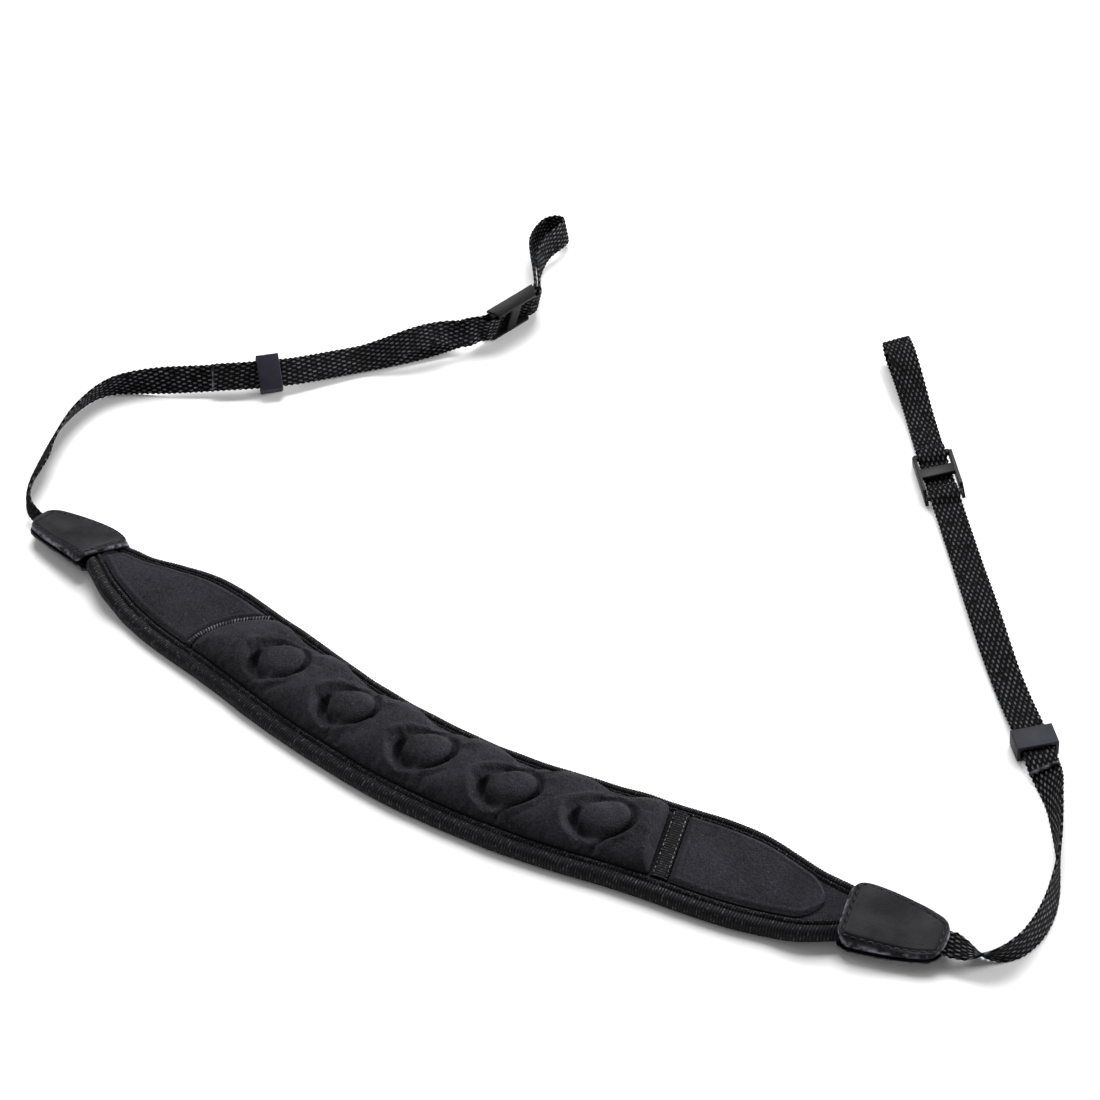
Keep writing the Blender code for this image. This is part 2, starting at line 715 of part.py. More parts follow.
def build_band(end, surface):
    """One folded band: out along the floor, round the lug loop and back above itself."""
    band = Band(end)
    middle_line = []
    lower_count = band.count
    flat_length = band.length - LOOP_RADIUS
    for k in range(lower_count + 1):
        place, ahead, width, normal = band.frame(flat_length * k / lower_count)
        middle_line.append((place, width, normal))

    start, ahead, width, normal = band.frame(flat_length)
    turns = 10
    for k in range(1, turns):
        turn = pi * k / turns
        out = ahead * sin(turn) - normal * cos(turn)
        place = start + normal * LOOP_RADIUS + out * LOOP_RADIUS
        middle_line.append((place, width, -out))

    hardware = HARDWARE[end]
    tail_end = (hardware.keeper_mm + hardware.tail_mm) * MM
    from_end = LOOP_RADIUS
    while from_end < tail_end:
        place, ahead, width, normal = band.from_end(from_end)
        place = place + normal * layer_gap(end, from_end)
        middle_line.append((place, width, -normal))
        in_buckle = abs(from_end - hardware.buckle_mm * MM) < BUCKLE_LONG * 0.7
        from_end += BAND_STEP * (0.4 if in_buckle else 0.9)

    rings = []
    for row, (place, width, normal) in enumerate(middle_line):
        before = middle_line[max(row - 1, 0)][0]
        after = middle_line[min(row + 1, len(middle_line) - 1)][0]
        along = (after - before).normalized()
        true_normal = along.cross(width).normalized()
        if true_normal.dot(normal) < 0:
            true_normal = -true_normal
        half_width, half_thick = width * BAND_WIDTH / 2, true_normal * BAND_THICK / 2
        rings.append([
            place + half_width,
            place + half_width * BAND_FLAT + half_thick,
            place - half_width * BAND_FLAT + half_thick,
            place - half_width,
            place - half_width * BAND_FLAT - half_thick,
            place + half_width * BAND_FLAT - half_thick,
        ])
    lofted(f"webbing_{end}", rings, surface)
    return band


# ================================================================ keeper and buckle
def rounded_box_outline(wide, tall, radius, corner_steps=3):
    """Points round a rectangle with round corners, centred on the origin."""
    outline = []
    for corner in range(4):
        x = (wide / 2 - radius) * (1 if corner in (0, 3) else -1)
        z = (tall / 2 - radius) * (1 if corner in (0, 1) else -1)
        for k in range(corner_steps + 1):
            turn = pi / 2 * (corner + k / corner_steps)
            outline.append((x + radius * cos(turn), z + radius * sin(turn)))
    return outline


def build_keeper(name, placement, surface):
    """A square moulded ring that both layers of the band pass through."""
    outer = rounded_box_outline(KEEPER_WIDE, KEEPER_TALL, KEEPER_ROUND)
    hole_wide, hole_tall = KEEPER_WIDE - 2 * KEEPER_WALL, KEEPER_TALL - 2 * KEEPER_WALL
    inner = rounded_box_outline(hole_wide, hole_tall, KEEPER_ROUND * 0.4)
    half = KEEPER_LONG / 2
    loops = [
        [(x, -half, z) for x, z in outer],
        [(x, half, z) for x, z in outer],
        [(x, half, z) for x, z in inner],
        [(x, -half, z) for x, z in inner],
    ]
    count = len(outer)
    points = [placement @ Vector(p) for loop in loops for p in loop]
    faces = []
    for loop in range(4):
        here, there = loop * count, (loop + 1) % 4 * count
        for k in range(count):
            turn = (k + 1) % count
            faces.append((here + k, here + turn, there + turn, there + k))
    return solid(name, points, faces, surface)


def block(name, size, centre, taper, surface):
    """A bar of the buckle; taper draws its top in at the two ends."""
    half = [s / 2 for s in size]
    points = []
    for x in (-half[0], half[0]):
        for y, z in (
            (-half[1], -half[2]), (-half[1], half[2] - taper * 0.45), (-half[1] + taper, half[2]),
            (half[1] - taper, half[2]), (half[1], half[2] - taper * 0.45), (half[1], -half[2]),
        ):
            points.append((centre[0] + x, centre[1] + y, centre[2] + z))
    faces = [tuple(range(6)), tuple(range(11, 5, -1))]
    faces += [(k, (k + 1) % 6, 6 + (k + 1) % 6, 6 + k) for k in range(6)]
    return solid(name, points, faces, surface)


def build_buckle(name, placement, surface):
    """A slide buckle: two rails joined by two end bars and a higher middle bar.

    Its own space has the band's lower layer at height 0.
    """
    bar_wide = BUCKLE_WIDE - RAIL_WIDE
    rail_x = (BUCKLE_WIDE - RAIL_WIDE) / 2
    under = BAND_THICK / 2 + CLEARANCE
    middle_low = LAYER_PITCH + BAND_THICK / 2 + CLEARANCE
    end_y = BUCKLE_LONG / 2 - END_BAR_LONG / 2
    rail_z = RAIL_TOP - RAIL_TALL / 2
    frame = block(
        name, (RAIL_WIDE, BUCKLE_LONG, RAIL_TALL), (-rail_x, 0, rail_z), RAIL_TAPER, surface,
    )
    bars = [((RAIL_WIDE, BUCKLE_LONG, RAIL_TALL), (rail_x, 0, rail_z), RAIL_TAPER)]
    for sign in (-1, 1):
        bars.append((
            (bar_wide, END_BAR_LONG, END_BAR_THICK),
            (0, sign * (end_y - 0.15 * MM), under + END_BAR_THICK / 2),
            0.4 * MM,
        ))
    bars.append((
        (bar_wide, MIDDLE_BAR_LONG, MIDDLE_BAR_THICK),
        (0, 0, middle_low + MIDDLE_BAR_THICK / 2),
        0.4 * MM,
    ))
    frame.matrix_world = placement
    for k, (size, centre, taper) in enumerate(bars):
        bar = block(f"{name}_bar_{k}", size, centre, taper, surface)
        bar.matrix_world = placement
        bar.hide_render = True
        bar.display_type = "WIRE"
        join = frame.modifiers.new(f"join_bar_{k}", "BOOLEAN")
        join.operation = "UNION"
        join.solver = "EXACT"
        join.object = bar
    return frame


def build_hardware(end, band, keeper_surface, buckle_surface):
    row = HARDWARE[end]
    build_buckle(f"buckle_{end}", band.placement(row.buckle_mm * MM, 0.0), buckle_surface)
    middle = LAYER_PITCH / 2
    build_keeper(f"keeper_{end}", band.placement(row.keeper_mm * MM, middle), keeper_surface)


def clear_scene():
    for piece in list(bpy.data.objects):
        bpy.data.objects.remove(piece, do_unlink=True)


def build_strap():
    clear_scene()
    neoprene = finish("neoprene_knit", "#2a2a2e", 0.85)
    binding = finish("grosgrain_binding", "#16161a", 0.5)
    thread = finish("overcast_thread", "#202024", 0.7)
    leather = finish("soft_leather", "#2e2e33", 0.5)
    webbing = finish("nylon_webbing", "#141416", 0.7)
    grey_plastic = finish("moulded_grey_plastic", "#3a3944", 0.45)
    black_plastic = finish("moulded_black_plastic", "#151517", 0.35)

    build_pad_base(neoprene)
    build_binding("binding_near", -1, binding)
    build_binding("binding_far", 1, binding)
    build_cushion(neoprene)
    build_wings(neoprene)
    build_cross_pieces(thread, binding)
    for end in ("left", "right"):
        build_tab(end, leather)
        band = build_band(end, webbing)
        build_hardware(end, band, grey_plastic, black_plastic)


build_strap()
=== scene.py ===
"""Looks of a camera neck strap laid on a table: knit, tapes, leather, threads and hardware.

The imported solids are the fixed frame.  Every soft piece is built here at a finer scale in the
place of its solid, from the same driving sizes: a pad with its own space (along its centre
line, across it, above the table) and two woven bands that follow a route from their tabs.
Sizes are in millimetres until a mesh is made, which is in metres.
"""

from __future__ import annotations

import logging
import math
from collections.abc import Callable
from dataclasses import dataclass, field, replace
from enum import Enum
from typing import NamedTuple

import bpy
import numpy as np
from mathutils import Matrix, Vector

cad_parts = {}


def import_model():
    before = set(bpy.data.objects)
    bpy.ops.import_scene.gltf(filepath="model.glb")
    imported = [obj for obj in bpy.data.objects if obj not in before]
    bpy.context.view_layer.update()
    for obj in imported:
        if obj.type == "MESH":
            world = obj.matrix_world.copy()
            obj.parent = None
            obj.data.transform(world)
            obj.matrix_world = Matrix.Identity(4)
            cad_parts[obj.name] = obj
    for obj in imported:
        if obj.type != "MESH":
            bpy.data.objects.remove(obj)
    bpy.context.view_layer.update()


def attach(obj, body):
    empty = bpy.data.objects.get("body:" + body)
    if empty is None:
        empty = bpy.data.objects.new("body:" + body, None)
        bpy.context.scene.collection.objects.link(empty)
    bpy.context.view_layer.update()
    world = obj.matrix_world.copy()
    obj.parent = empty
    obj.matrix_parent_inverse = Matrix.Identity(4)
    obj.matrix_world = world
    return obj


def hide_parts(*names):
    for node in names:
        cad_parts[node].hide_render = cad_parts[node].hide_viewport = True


Array = np.ndarray
Piece = bpy.types.Object
Node = bpy.types.Node
Tree = bpy.types.NodeTree
Socket = bpy.types.NodeSocket
# A finish's colour and its relief.
Pattern = tuple[Socket, Node]
# Gives a distance across the pad at each place along it.
WidthRule = Callable[[Array], Array]

LOG = logging.getLogger("strap")
MM = 0.001
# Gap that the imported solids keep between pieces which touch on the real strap.
CLEARANCE = 0.3
# Middle of the laid-out strap's outline, which the frame has at its origin.
LAYOUT_SHIFT = (13.26, -2.99)
# Edges sharper than this stay creased when a mesh is shaded smooth.
SHARP_DEG = 62.0
UP = np.array((0.0, 0.0, 1.0))


# ---- numbers and tables
def smooth(value: Array | float, low: float, high: float) -> Array:
    """S-shaped rise from 0 below low to 1 above high.

    Args:
        value: where to read the rise.
        low: the place up to which it is 0.
        high: the place from which it is 1.

    Returns:
        The rise at each value.
    """
    share = np.clip((np.asarray(value, float) - low) / (high - low), 0.0, 1.0)
    return share * share * (3.0 - 2.0 * share)


def bell(value: Array, width: float | Array) -> Array:
    """A bell curve of height 1 round 0, which falls to a third at width."""
    return np.exp(-((value / width) ** 2))


def unit(vectors: Array) -> Array:
    """The vectors at length 1."""
    return vectors / np.maximum(np.linalg.norm(vectors, axis=-1, keepdims=True), 1e-12)


def rounded(share: Array, power: float, squareness: float = 0.5) -> Array:
    """A rise from 0 to 1 that is steep at first and level at its end.

    Args:
        share: how far along the rise, from 0 to 1.
        power: the higher it is, the sooner the rise is over.
        squareness: the lower it is, the steeper the rise begins.

    Returns:
        The height at each share.
    """
    return (1.0 - (1.0 - share) ** power) ** squareness


def run_total(steps: Array) -> Array:
    """Distance gone at the start and after each step."""
    return np.concatenate(([0.0], np.cumsum(steps)))


def read_rows(rows: Array, gone: Array, wanted: Array) -> Array:
    """Reads a table between its rows.

    Args:
        rows: the table.
        gone: distance gone at each row.
        wanted: distances to read at.

    Returns:
        One row for each of those distances.
    """
    return np.stack([np.interp(wanted, gone, column) for column in rows.T], axis=1)


def doubled(values: Array) -> Array:
    """Makes a grid twice as fine.

    Args:
        values: numbers or points, on a grid given by the first two axes.

    Returns:
        The same values, with their means between them.
    """
    for axis in (0, 1):
        values = np.moveaxis(values, axis, 0)
        fine = np.empty((2 * len(values) - 1, *values.shape[1:]))
        fine[::2] = values
        fine[1::2] = (values[1:] + values[:-1]) / 2
        values = np.moveaxis(fine, 0, axis)
    return values


def cell_noise(first: Array, second: Array) -> Array:
    """A steady pseudo-random number from 0 to 1 for each pair of whole numbers."""
    mixed = np.sin(first * 12.9898 + second * 78.233) * 43758.5453
    return mixed - np.floor(mixed)


def value_noise(x: Array, y: Array) -> Array:
    """Smooth noise with one hump to each unit of x and y.

    Args:
        x: first coordinates.
        y: second coordinates.

    Returns:
        The noise, from -1 to 1.
    """
    column, row = np.floor(x), np.floor(y)
    across, up = smooth(x - column, 0, 1), smooth(y - row, 0, 1)
    low = cell_noise(column, row) * (1 - across) + cell_noise(column + 1, row) * across
    high = cell_noise(column, row + 1) * (1 - across) + cell_noise(column + 1, row + 1) * across
    return 2.0 * (low * (1 - up) + high * up) - 1.0


@dataclass(frozen=True)
class Curve:
    """A smooth curve through a short table.

    Attributes:
        rows: pairs of a place and its value, the places rising.
    """

    rows: tuple[tuple[float, float], ...]

    def at(self, places: Array | float) -> Array:
        """Reads the curve.

        Args:
            places: where to read it.

        Returns:
            The value at each place; past the table's ends it keeps the end value.
        """
        x, y = (np.array(column, float) for column in zip(*self.rows))
        place = np.clip(np.asarray(places, float), x[0], x[-1])
        k = np.clip(np.searchsorted(x, place, side="left") - 1, 0, len(x) - 2)
        before, after = np.maximum(k - 1, 0), np.minimum(k + 2, len(x) - 1)
        span = x[k + 1] - x[k]
        share = (place - x[k]) / span
        leave = (y[k + 1] - y[before]) / (x[k + 1] - x[before]) * span
        reach = (y[after] - y[k]) / (x[after] - x[k]) * span
        return (
            (2 * share**3 - 3 * share**2 + 1) * y[k]
            + (share**3 - 2 * share**2 + share) * leave
            + (3 * share**2 - 2 * share**3) * y[k + 1]
            + (share**3 - share**2) * reach
        )


class End(Enum):
    """The two ends of the strap."""

    LEFT = "left"
    RIGHT = "right"


@dataclass(frozen=True)
class EndRow:
    """How one end of the pad lies.

    Attributes:
        side: -1 to the left, 1 to the right.
        tab_start: where the leather tab begins along the pad.
        tab_tip: where it ends.
        slant: lean of the tab's wide end along the pad, for each unit across it.
        roll_deg: roll of the pad's end about its centre line.
        tip_lift: how much higher the band holds the tab's tip.
        corner: radius of the corners of the tab's wide end.
        near_trim: how much narrower than its pattern the tab is on the near side.
    """

    side: int
    tab_start: float
    tab_tip: float
    slant: float
    roll_deg: float
    tip_lift: float
    corner: float
    near_trim: float


ENDS: dict[End, EndRow] = {
    End.LEFT: EndRow(-1, 149.6, 184.5, 0.32, -9.0, -1.4, 2.2, 2.2),
    End.RIGHT: EndRow(1, 145.0, 177.0, 0.03, 7.0, 0.4, 4.6, 0.0),
}
# Half the width of a tab's pattern, by share of the way from its wide end to its tip.
TAB_WIDTH = Curve((
    (0.00, 10.2), (0.05, 11.3), (0.14, 11.7), (0.32, 11.4), (0.52, 10.6),
    (0.70, 9.5), (0.84, 8.2), (0.93, 7.0), (0.98, 5.7), (1.00, 4.6),
))
# Thickness of each of a tab's two leathers.
LEATHER = 1.2
# The webbing's floats: lengthwise period, crosswise period, and lean of the picks.
PICK = 4.0
COLUMN = 1.75
WEAVE_SKEW = 0.16
# Distance between the ribs of the grosgrain tape, which are 0.65 mm apart on the real one:
# drawn coarser so that they show.
TAPE_RIB = 0.95


# ---- the pad's own space
@dataclass
class PadSpace:
    """Places on the neck pad, by distance along it, across it and above the table.

    Attributes:
        centre: middle of the pad before the lay-out's shift.
        turn_deg: the pad's long direction, from X.
        heading: its centre line's heading from that direction.
        sway: how far its outline lies towards the far side of that line, at each place.
        width_curve: half its width over its tapes, by the distance from its middle.
        end: where its foam ends under the tabs.
        thick: its foam's thickness.
        edge_height: height of the folded tape on its edges.
        inset: distance from its outline to the raised panels, on the far side.
        near_inset: the same on the near side, where the tape laps further over the foam.
        roll_from: distance from its middle from which its ends roll and rise.
        roll_to: distance at which the roll is full.
        step: distance between the points of its centre line.
        line: distance along the centre line, and X and Y there.
    """

    centre: tuple[float, float] = (-41.0, -105.9)
    turn_deg: float = -33.2
    heading: tuple[tuple[float, float], ...] = (
        (-186.0, -1.5), (-150.0, -7.0), (-62.0, -8.9), (62.0, 8.9), (186.0, 8.9),
    )
    sway: Curve = Curve((
        (-186.0, 1.0), (-160.0, 0.4), (-139.0, -1.7), (-128.0, 0.2), (-116.0, 1.5),
        (-92.0, 1.8), (-64.0, 1.1), (-14.0, -0.6), (14.0, -0.6), (36.0, 0.0), (56.0, 1.2),
        (80.0, 2.3), (110.0, 2.1), (124.0, 1.0), (136.0, -1.2), (150.0, 0.7), (178.0, 1.6),
    ))
    width_curve: Curve = Curve((
        (0.0, 19.5), (24.0, 19.3), (56.0, 19.6), (84.0, 19.4), (100.0, 19.6), (112.0, 19.0),
        (120.0, 17.6), (128.0, 15.5), (136.0, 12.9), (143.0, 10.6), (151.0, 8.0),
    ))
    end: float = 150.5
    thick: float = 4.2
    edge_height: float = 5.0
    inset: float = 4.5
    near_inset: float = 7.0
    roll_from: float = 122.0
    roll_to: float = 147.0
    step: float = 0.25
    line: tuple[Array, Array, Array] = field(init=False)

    def __post_init__(self) -> None:
        """Walks the centre line out from the pad's middle, both ways."""
        along = np.arange(-190.0, 190.0 + self.step, self.step)
        heading = self.heading_at(along)
        walked = [
            run_total((part[1:] + part[:-1]) / 2 * self.step)
            for part in (np.cos(heading), np.sin(heading))
        ]
        start = [c + s for c, s in zip(self.centre, LAYOUT_SHIFT)]
        x, y = (w - np.interp(0.0, along, w) + s for w, s in zip(walked, start))
        self.line = (along, x, y)

    @property
    def floor(self) -> float:
        """Height on which the raised panels lie."""
        return self.thick + CLEARANCE

    def heading_at(self, along: Array) -> Array:
        """Heading of the centre line, in radians from X."""
        places, degrees = zip(*self.heading)
        return np.radians(self.turn_deg + np.interp(along, places, degrees))

    def roll_at(self, along: Array) -> Array:
        """Roll of the pad about its centre line.

        Args:
            along: places along it.

        Returns:
            The roll in radians, positive where the far side is the higher one.
        """
        left, right = (math.radians(ENDS[end].roll_deg) for end in (End.LEFT, End.RIGHT))
        share = smooth(np.abs(along), self.roll_from, self.roll_to)
        return np.where(along < 0, left, right) * share

    def lift_at(self, along: Array) -> Array:
        """Height that the lower leather and the band's pull give the pad's ends.

        Args:
            along: places along the pad.

        Returns:
            The height of the pad's underside at each place.
        """
        widest = max(width for _, width in TAB_WIDTH.rows)
        lifts = []
        for end in (End.LEFT, End.RIGHT):
            row = ENDS[end]
            rise = LEATHER + CLEARANCE + abs(math.sin(math.radians(row.roll_deg))) * widest
            lift = rise * smooth(np.abs(along), self.roll_from, row.tab_start - 5.0)
            lifts.append(lift + row.tip_lift * smooth(np.abs(along), self.end, row.tab_tip))
        return np.where(along < 0, *lifts)

    def points(self, along: Array, across: Array, height: Array) -> Array:
        """World points of places on the pad.

        Args:
            along: distance along the centre line from the pad's middle.
            across: distance from it, positive towards the far side.
            height: distance above the pad's underside.

        Returns:
            The points, in millimetres, on a last axis of three.
        """
        along, across, height = np.broadcast_arrays(along, across, height)
        places, x, y = self.line
        heading, roll = self.heading_at(along), self.roll_at(along)
        level = self.sway.at(along) + across * np.cos(roll) - height * np.sin(roll)
        rise = across * np.sin(roll) + height * np.cos(roll) + self.lift_at(along)
        return np.stack((
            np.interp(along, places, x) - np.sin(heading) * level,
            np.interp(along, places, y) + np.cos(heading) * level,
            rise,
        ), axis=-1)

    def half_width(self, along: Array) -> Array:
        """Half the pad's width, over its folded edge tapes."""
        return self.width_curve.at(np.abs(along))

    def panel_half_width(self, along: Array) -> Array:
        """Half the width of the raised panels."""
        return self.half_width(along) - (self.inset + self.near_inset) / 2

    def panel_middle(self, along: Array) -> Array:
        """Distance across the pad from its middle to the panels' middle."""
        return np.full_like(along, (self.near_inset - self.inset) / 2)


# ---- meshes
def deselect_all() -> None:
    """Leaves nothing selected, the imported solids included."""
    if bpy.context.object and bpy.context.object.mode != "OBJECT":
        bpy.ops.object.mode_set(mode="OBJECT")
    bpy.ops.object.select_all(action="DESELECT")


def add_object(name: str, data: bpy.types.ID) -> Piece:
    """Puts a mesh, lamp or camera into the scene.

    Args:
        name: the object's name.
        data: what it shows.

    Returns:
        The object.
    """
    made = bpy.data.objects.new(name, data)
    bpy.context.scene.collection.objects.link(made)
    return made


def is_inside_out(points: Array, corners: Array) -> bool:
    """Whether quads, given by their point numbers, close round a negative volume."""
    a, b, c, d = (points[corners[:, k]] for k in range(4))
    return float((np.cross(a, b) * c + np.cross(a, c) * d).sum()) < 0.0


def loft(
    name: str, rings: Array, along: Array, around: Array, values: dict[str, Array] | None = None
) -> Piece:
    """A closed skin through rings of equal point counts, capped at both ends.

    Args:
        name: the piece's name.
        rings: points in millimetres, as rows x points round the ring x 3.
        along: the cloth's first coordinate in millimetres, for each point.
        around: its second one.
        values: further numbers for each point, by attribute name.

    Returns:
        The piece, with its place in its mesh.
    """
    rows, count = rings.shape[:2]
    cloth = np.stack(np.broadcast_arrays(along, around), axis=-1)
    cloth = np.concatenate((cloth, cloth[:, :1]), axis=1)
    row, turn = (grid.ravel() for grid in np.mgrid[0:rows - 1, 0:count])
    corner_rows = np.stack((row, row, row + 1, row + 1), axis=1)
    corner_turns = np.stack((turn, turn + 1, turn + 1, turn), axis=1)
    corners = corner_rows * count + corner_turns % count
    points = rings.reshape(-1, 3)
    start, stop = np.arange(count), np.arange(count)
    if is_inside_out(points, corners):
        corners, corner_rows, corner_turns = (
            grid[:, ::-1] for grid in (corners, corner_rows, corner_turns)
        )
        stop = stop[::-1]
    else:
        start = start[::-1]
    caps = [start.tolist(), (stop + (rows - 1) * count).tolist()]
    mesh = bpy.data.meshes.new(name)
    mesh.from_pydata((points * MM).tolist(), [], corners.tolist() + caps)
    layer = mesh.uv_layers.new(name="cloth")
    sides = cloth[corner_rows, corner_turns].reshape(-1, 2)
    spread = np.concatenate((sides, cloth[0, start], cloth[-1, stop]))
    layer.data.foreach_set("uv", spread.astype(np.float32).ravel())
    for attribute, numbers in (values or {}).items():
        data = mesh.attributes.new(attribute, "FLOAT", "POINT").data
        data.foreach_set("value", numbers.astype(np.float32).ravel())
    mesh.shade_smooth()
    mesh.set_sharp_from_angle(angle=math.radians(SHARP_DEG))
    return add_object(name, mesh)


@dataclass(frozen=True)
class Stitch:
    """One sewn stitch, modelled once and copied.

    Attributes:
        length: from hole to hole.
        thick: diameter of the thread.
        arch: how far its ends dip below its middle.
        pitch: distance between two of them in a row.
        turn_deg: how far each is turned from the row's direction.
        flatness: its height as a share of its thickness.
    """

    length: float
    thick: float
    arch: float
    pitch: float
    turn_deg: float = 0.0
    flatness: float = 0.8

    def prototype(self) -> tuple[Array, Array]:
        """Models one stitch along X, with its ends dipping into the cloth.

        Returns:
            Its points in millimetres and its quads and triangles as rows of four, where a
            triangle repeats its last point.
        """
        deselect_all()
        bpy.ops.mesh.primitive_uv_sphere_add(segments=7, ring_count=6, radius=0.5)
        ball = bpy.context.active_object
        bpy.ops.object.mode_set(mode="EDIT")
        bpy.ops.mesh.select_all(action="SELECT")
        bpy.ops.transform.rotate(value=math.pi / 2, orient_axis="Y", center_override=(0, 0, 0))
        bpy.ops.transform.resize(value=(self.length, self.thick, self.thick * self.flatness))
        bpy.ops.object.mode_set(mode="OBJECT")
        points = np.array([v.co for v in ball.data.vertices])
        points[:, 2] -= self.arch * (2.0 * points[:, 0] / self.length) ** 2
        faces = [list(p.vertices) for p in ball.data.polygons]
        bpy.data.objects.remove(ball, do_unlink=True)
        return points, np.array([f + f[-1:] * (4 - len(f)) for f in faces])

    def places(self, line: Array) -> tuple[Array, Array]:
        """Even places in a row, the first one half a pitch from its start.

        Args:
            line: points of the row's line, in millimetres.

        Returns:
            The places, and the direction of the stitch at each.
        """
        gone = run_total(np.linalg.norm(np.diff(line, axis=0), axis=1))
        wanted = np.arange(0.5 * self.pitch, gone[-1] - 0.2 * self.pitch, self.pitch)
        places = read_rows(line, gone, wanted)
        beyond = read_rows(line, gone, np.minimum(wanted + 0.4 * self.pitch, gone[-1]))
        turned = np.array(Matrix.Rotation(math.radians(self.turn_deg), 3, "Z"))
        return places, unit((beyond - places) @ turned.T)

    def run(self, name: str, line: Array) -> Piece:
        """Sews copies of the stitch in a row, on cloth that lies about level.

        Args:
            name: the piece's name.
            line: points of the row's line, in millimetres.

        Returns:
            All the stitches as one piece.
        """
        points, faces = self.prototype()
        places, ahead = self.places(line)
        side = unit(np.cross(UP, ahead))
        axes = np.stack((ahead, side, np.cross(ahead, side)), axis=1)
        placed = np.einsum("pk,skx->spx", points, axes) + places[:, None, :]
        numbers = faces[None] + (np.arange(len(places)) * len(points))[:, None, None]
        rows = [list(dict.fromkeys(f)) for f in numbers.reshape(-1, 4).tolist()]
        mesh = bpy.data.meshes.new(name)
        mesh.from_pydata((placed.reshape(-1, 3) * MM).tolist(), [], rows)
        mesh.shade_smooth()
        return add_object(name, mesh)


# ---- finishes
def linear(hex_colour: str) -> tuple[float, float, float, float]:
    """Scene-linear colour of an sRGB hex value."""
    channels = [int(hex_colour[k:k + 2], 16) / 255 for k in (1, 3, 5)]
    return (*((c / 12.92 if c <= 0.04045 else ((c + 0.055) / 1.055) ** 2.4) for c in channels), 1.0)


def add_node(tree: Tree, kind: str, inputs: dict | None = None, **settings: str) -> Node:
    """Adds one node to a material.

    Args:
        tree: the material's nodes.
        kind: the node's type, without ShaderNode.
        inputs: by an input's name or number, its number or colour, or the socket or node
            that feeds it, where a node feeds it from its first output.
        settings: the node's own properties.

    Returns:
        The node.
    """
    node = tree.nodes.new(f"ShaderNode{kind}")
    for name, value in settings.items():
        setattr(node, name, value)
    for key, value in (inputs or {}).items():
        if isinstance(value, bpy.types.Node):
            value = value.outputs[0]
        if isinstance(value, Socket):
            tree.links.new(value, node.inputs[key])
        else:
            node.inputs[key].default_value = value
    return node


def patches(
    tree: Tree, width_mm: float, detail: float = 2.0, spread: tuple[float, float] = (0.0, 1.0),
    most: float = 1.0,
) -> Node:
    """Soft patches all over a piece, in its own space.

    Args:
        tree: the material's nodes.
        width_mm: about how far apart they lie.
        detail: how many finer layers their edges have.
        spread: the noise at which a patch begins, and at which it is full.
        most: value of a full patch.

    Returns:
        The node whose value is 0 between the patches.
    """
    place = add_node(tree, "TexCoord").outputs["Object"]
    scale = 1.0 / (width_mm * MM)
    noise = add_node(tree, "TexNoise", {"Vector": place, "Scale": scale, "Detail": detail})
    ends = {"From Min": spread[0], "From Max": spread[1], "To Max": most}
    return add_node(tree, "MapRange", {"Value": noise, **ends})


@dataclass(frozen=True)
class Finish:
    """A surface finish; each kind of surface adds its own pattern.

    Attributes:
        name: what the surface really is.
        slot: the record's slot of that finish; not used.
        dark: colour at the low end of its pattern; on the knit, tape and webbing it is painted
            shade in the hollows.
        light: colour at the high end of its pattern; on the knit, tape and webbing it is a painted
            highlight, on the leather's rims partly wear and partly painted highlight.
        roughness: of the whole surface.
        depth_mm: depth of its relief.
        specular: specular level.
        sheen: amount of soft sheen that loose fibres give.
        sheen_roughness: how widely the fibres spread it.
        sheen_tint: its colour.
    """

    name: str
    slot: str
    dark: str
    light: str
    roughness: float
    depth_mm: float
    specular: float
    sheen: float = 0.0
    sheen_roughness: float = 0.45
    sheen_tint: str = "#c8c8d2"

    def material(self) -> bpy.types.Material:
        """Makes the finish's material the first time that it is asked for.

        Returns:
            The material.
        """
        made = bpy.data.materials.get(self.name)
        if made:
            return made
        made = bpy.data.materials.new(self.name)
        made.use_nodes = True
        tree = made.node_tree
        shader = tree.nodes["Principled BSDF"]
        for socket, value in (
            ("Roughness", self.roughness), ("Specular IOR Level", self.specular),
            ("Sheen Weight", self.sheen), ("Sheen Roughness", self.sheen_roughness),
            ("Sheen Tint", linear(self.sheen_tint)),
        ):
            shader.inputs[socket].default_value = value
        colour, height = self.pattern(tree)
        tree.links.new(colour, shader.inputs["Base Color"])
        depth = self.depth_mm * MM
        bump = add_node(tree, "Bump", {"Height": height, "Strength": 1.0, "Distance": depth})
        tree.links.new(bump.outputs["Normal"], shader.inputs["Normal"])
        return made

    def pattern(self, tree: Tree) -> Pattern:
        """Adds the nodes of the finish's pattern.

        Args:
            tree: the material's nodes.

        Returns:
            Its colour, and its relief from 0 to 1.
        """
        raise NotImplementedError

    def blend(self, tree: Tree, share: Node) -> Socket:
        """Colour from dark to light by a share from 0 to 1."""
        inputs = {0: share, 6: linear(self.dark), 7: linear(self.light)}
        return add_node(tree, "Mix", inputs, data_type="RGBA").outputs[2]

    def dress(self, piece: Piece) -> None:
        """Gives a piece this finish.

        Args:
            piece: the piece.
        """
        piece.data.materials.clear()
        piece.data.materials.append(self.material())


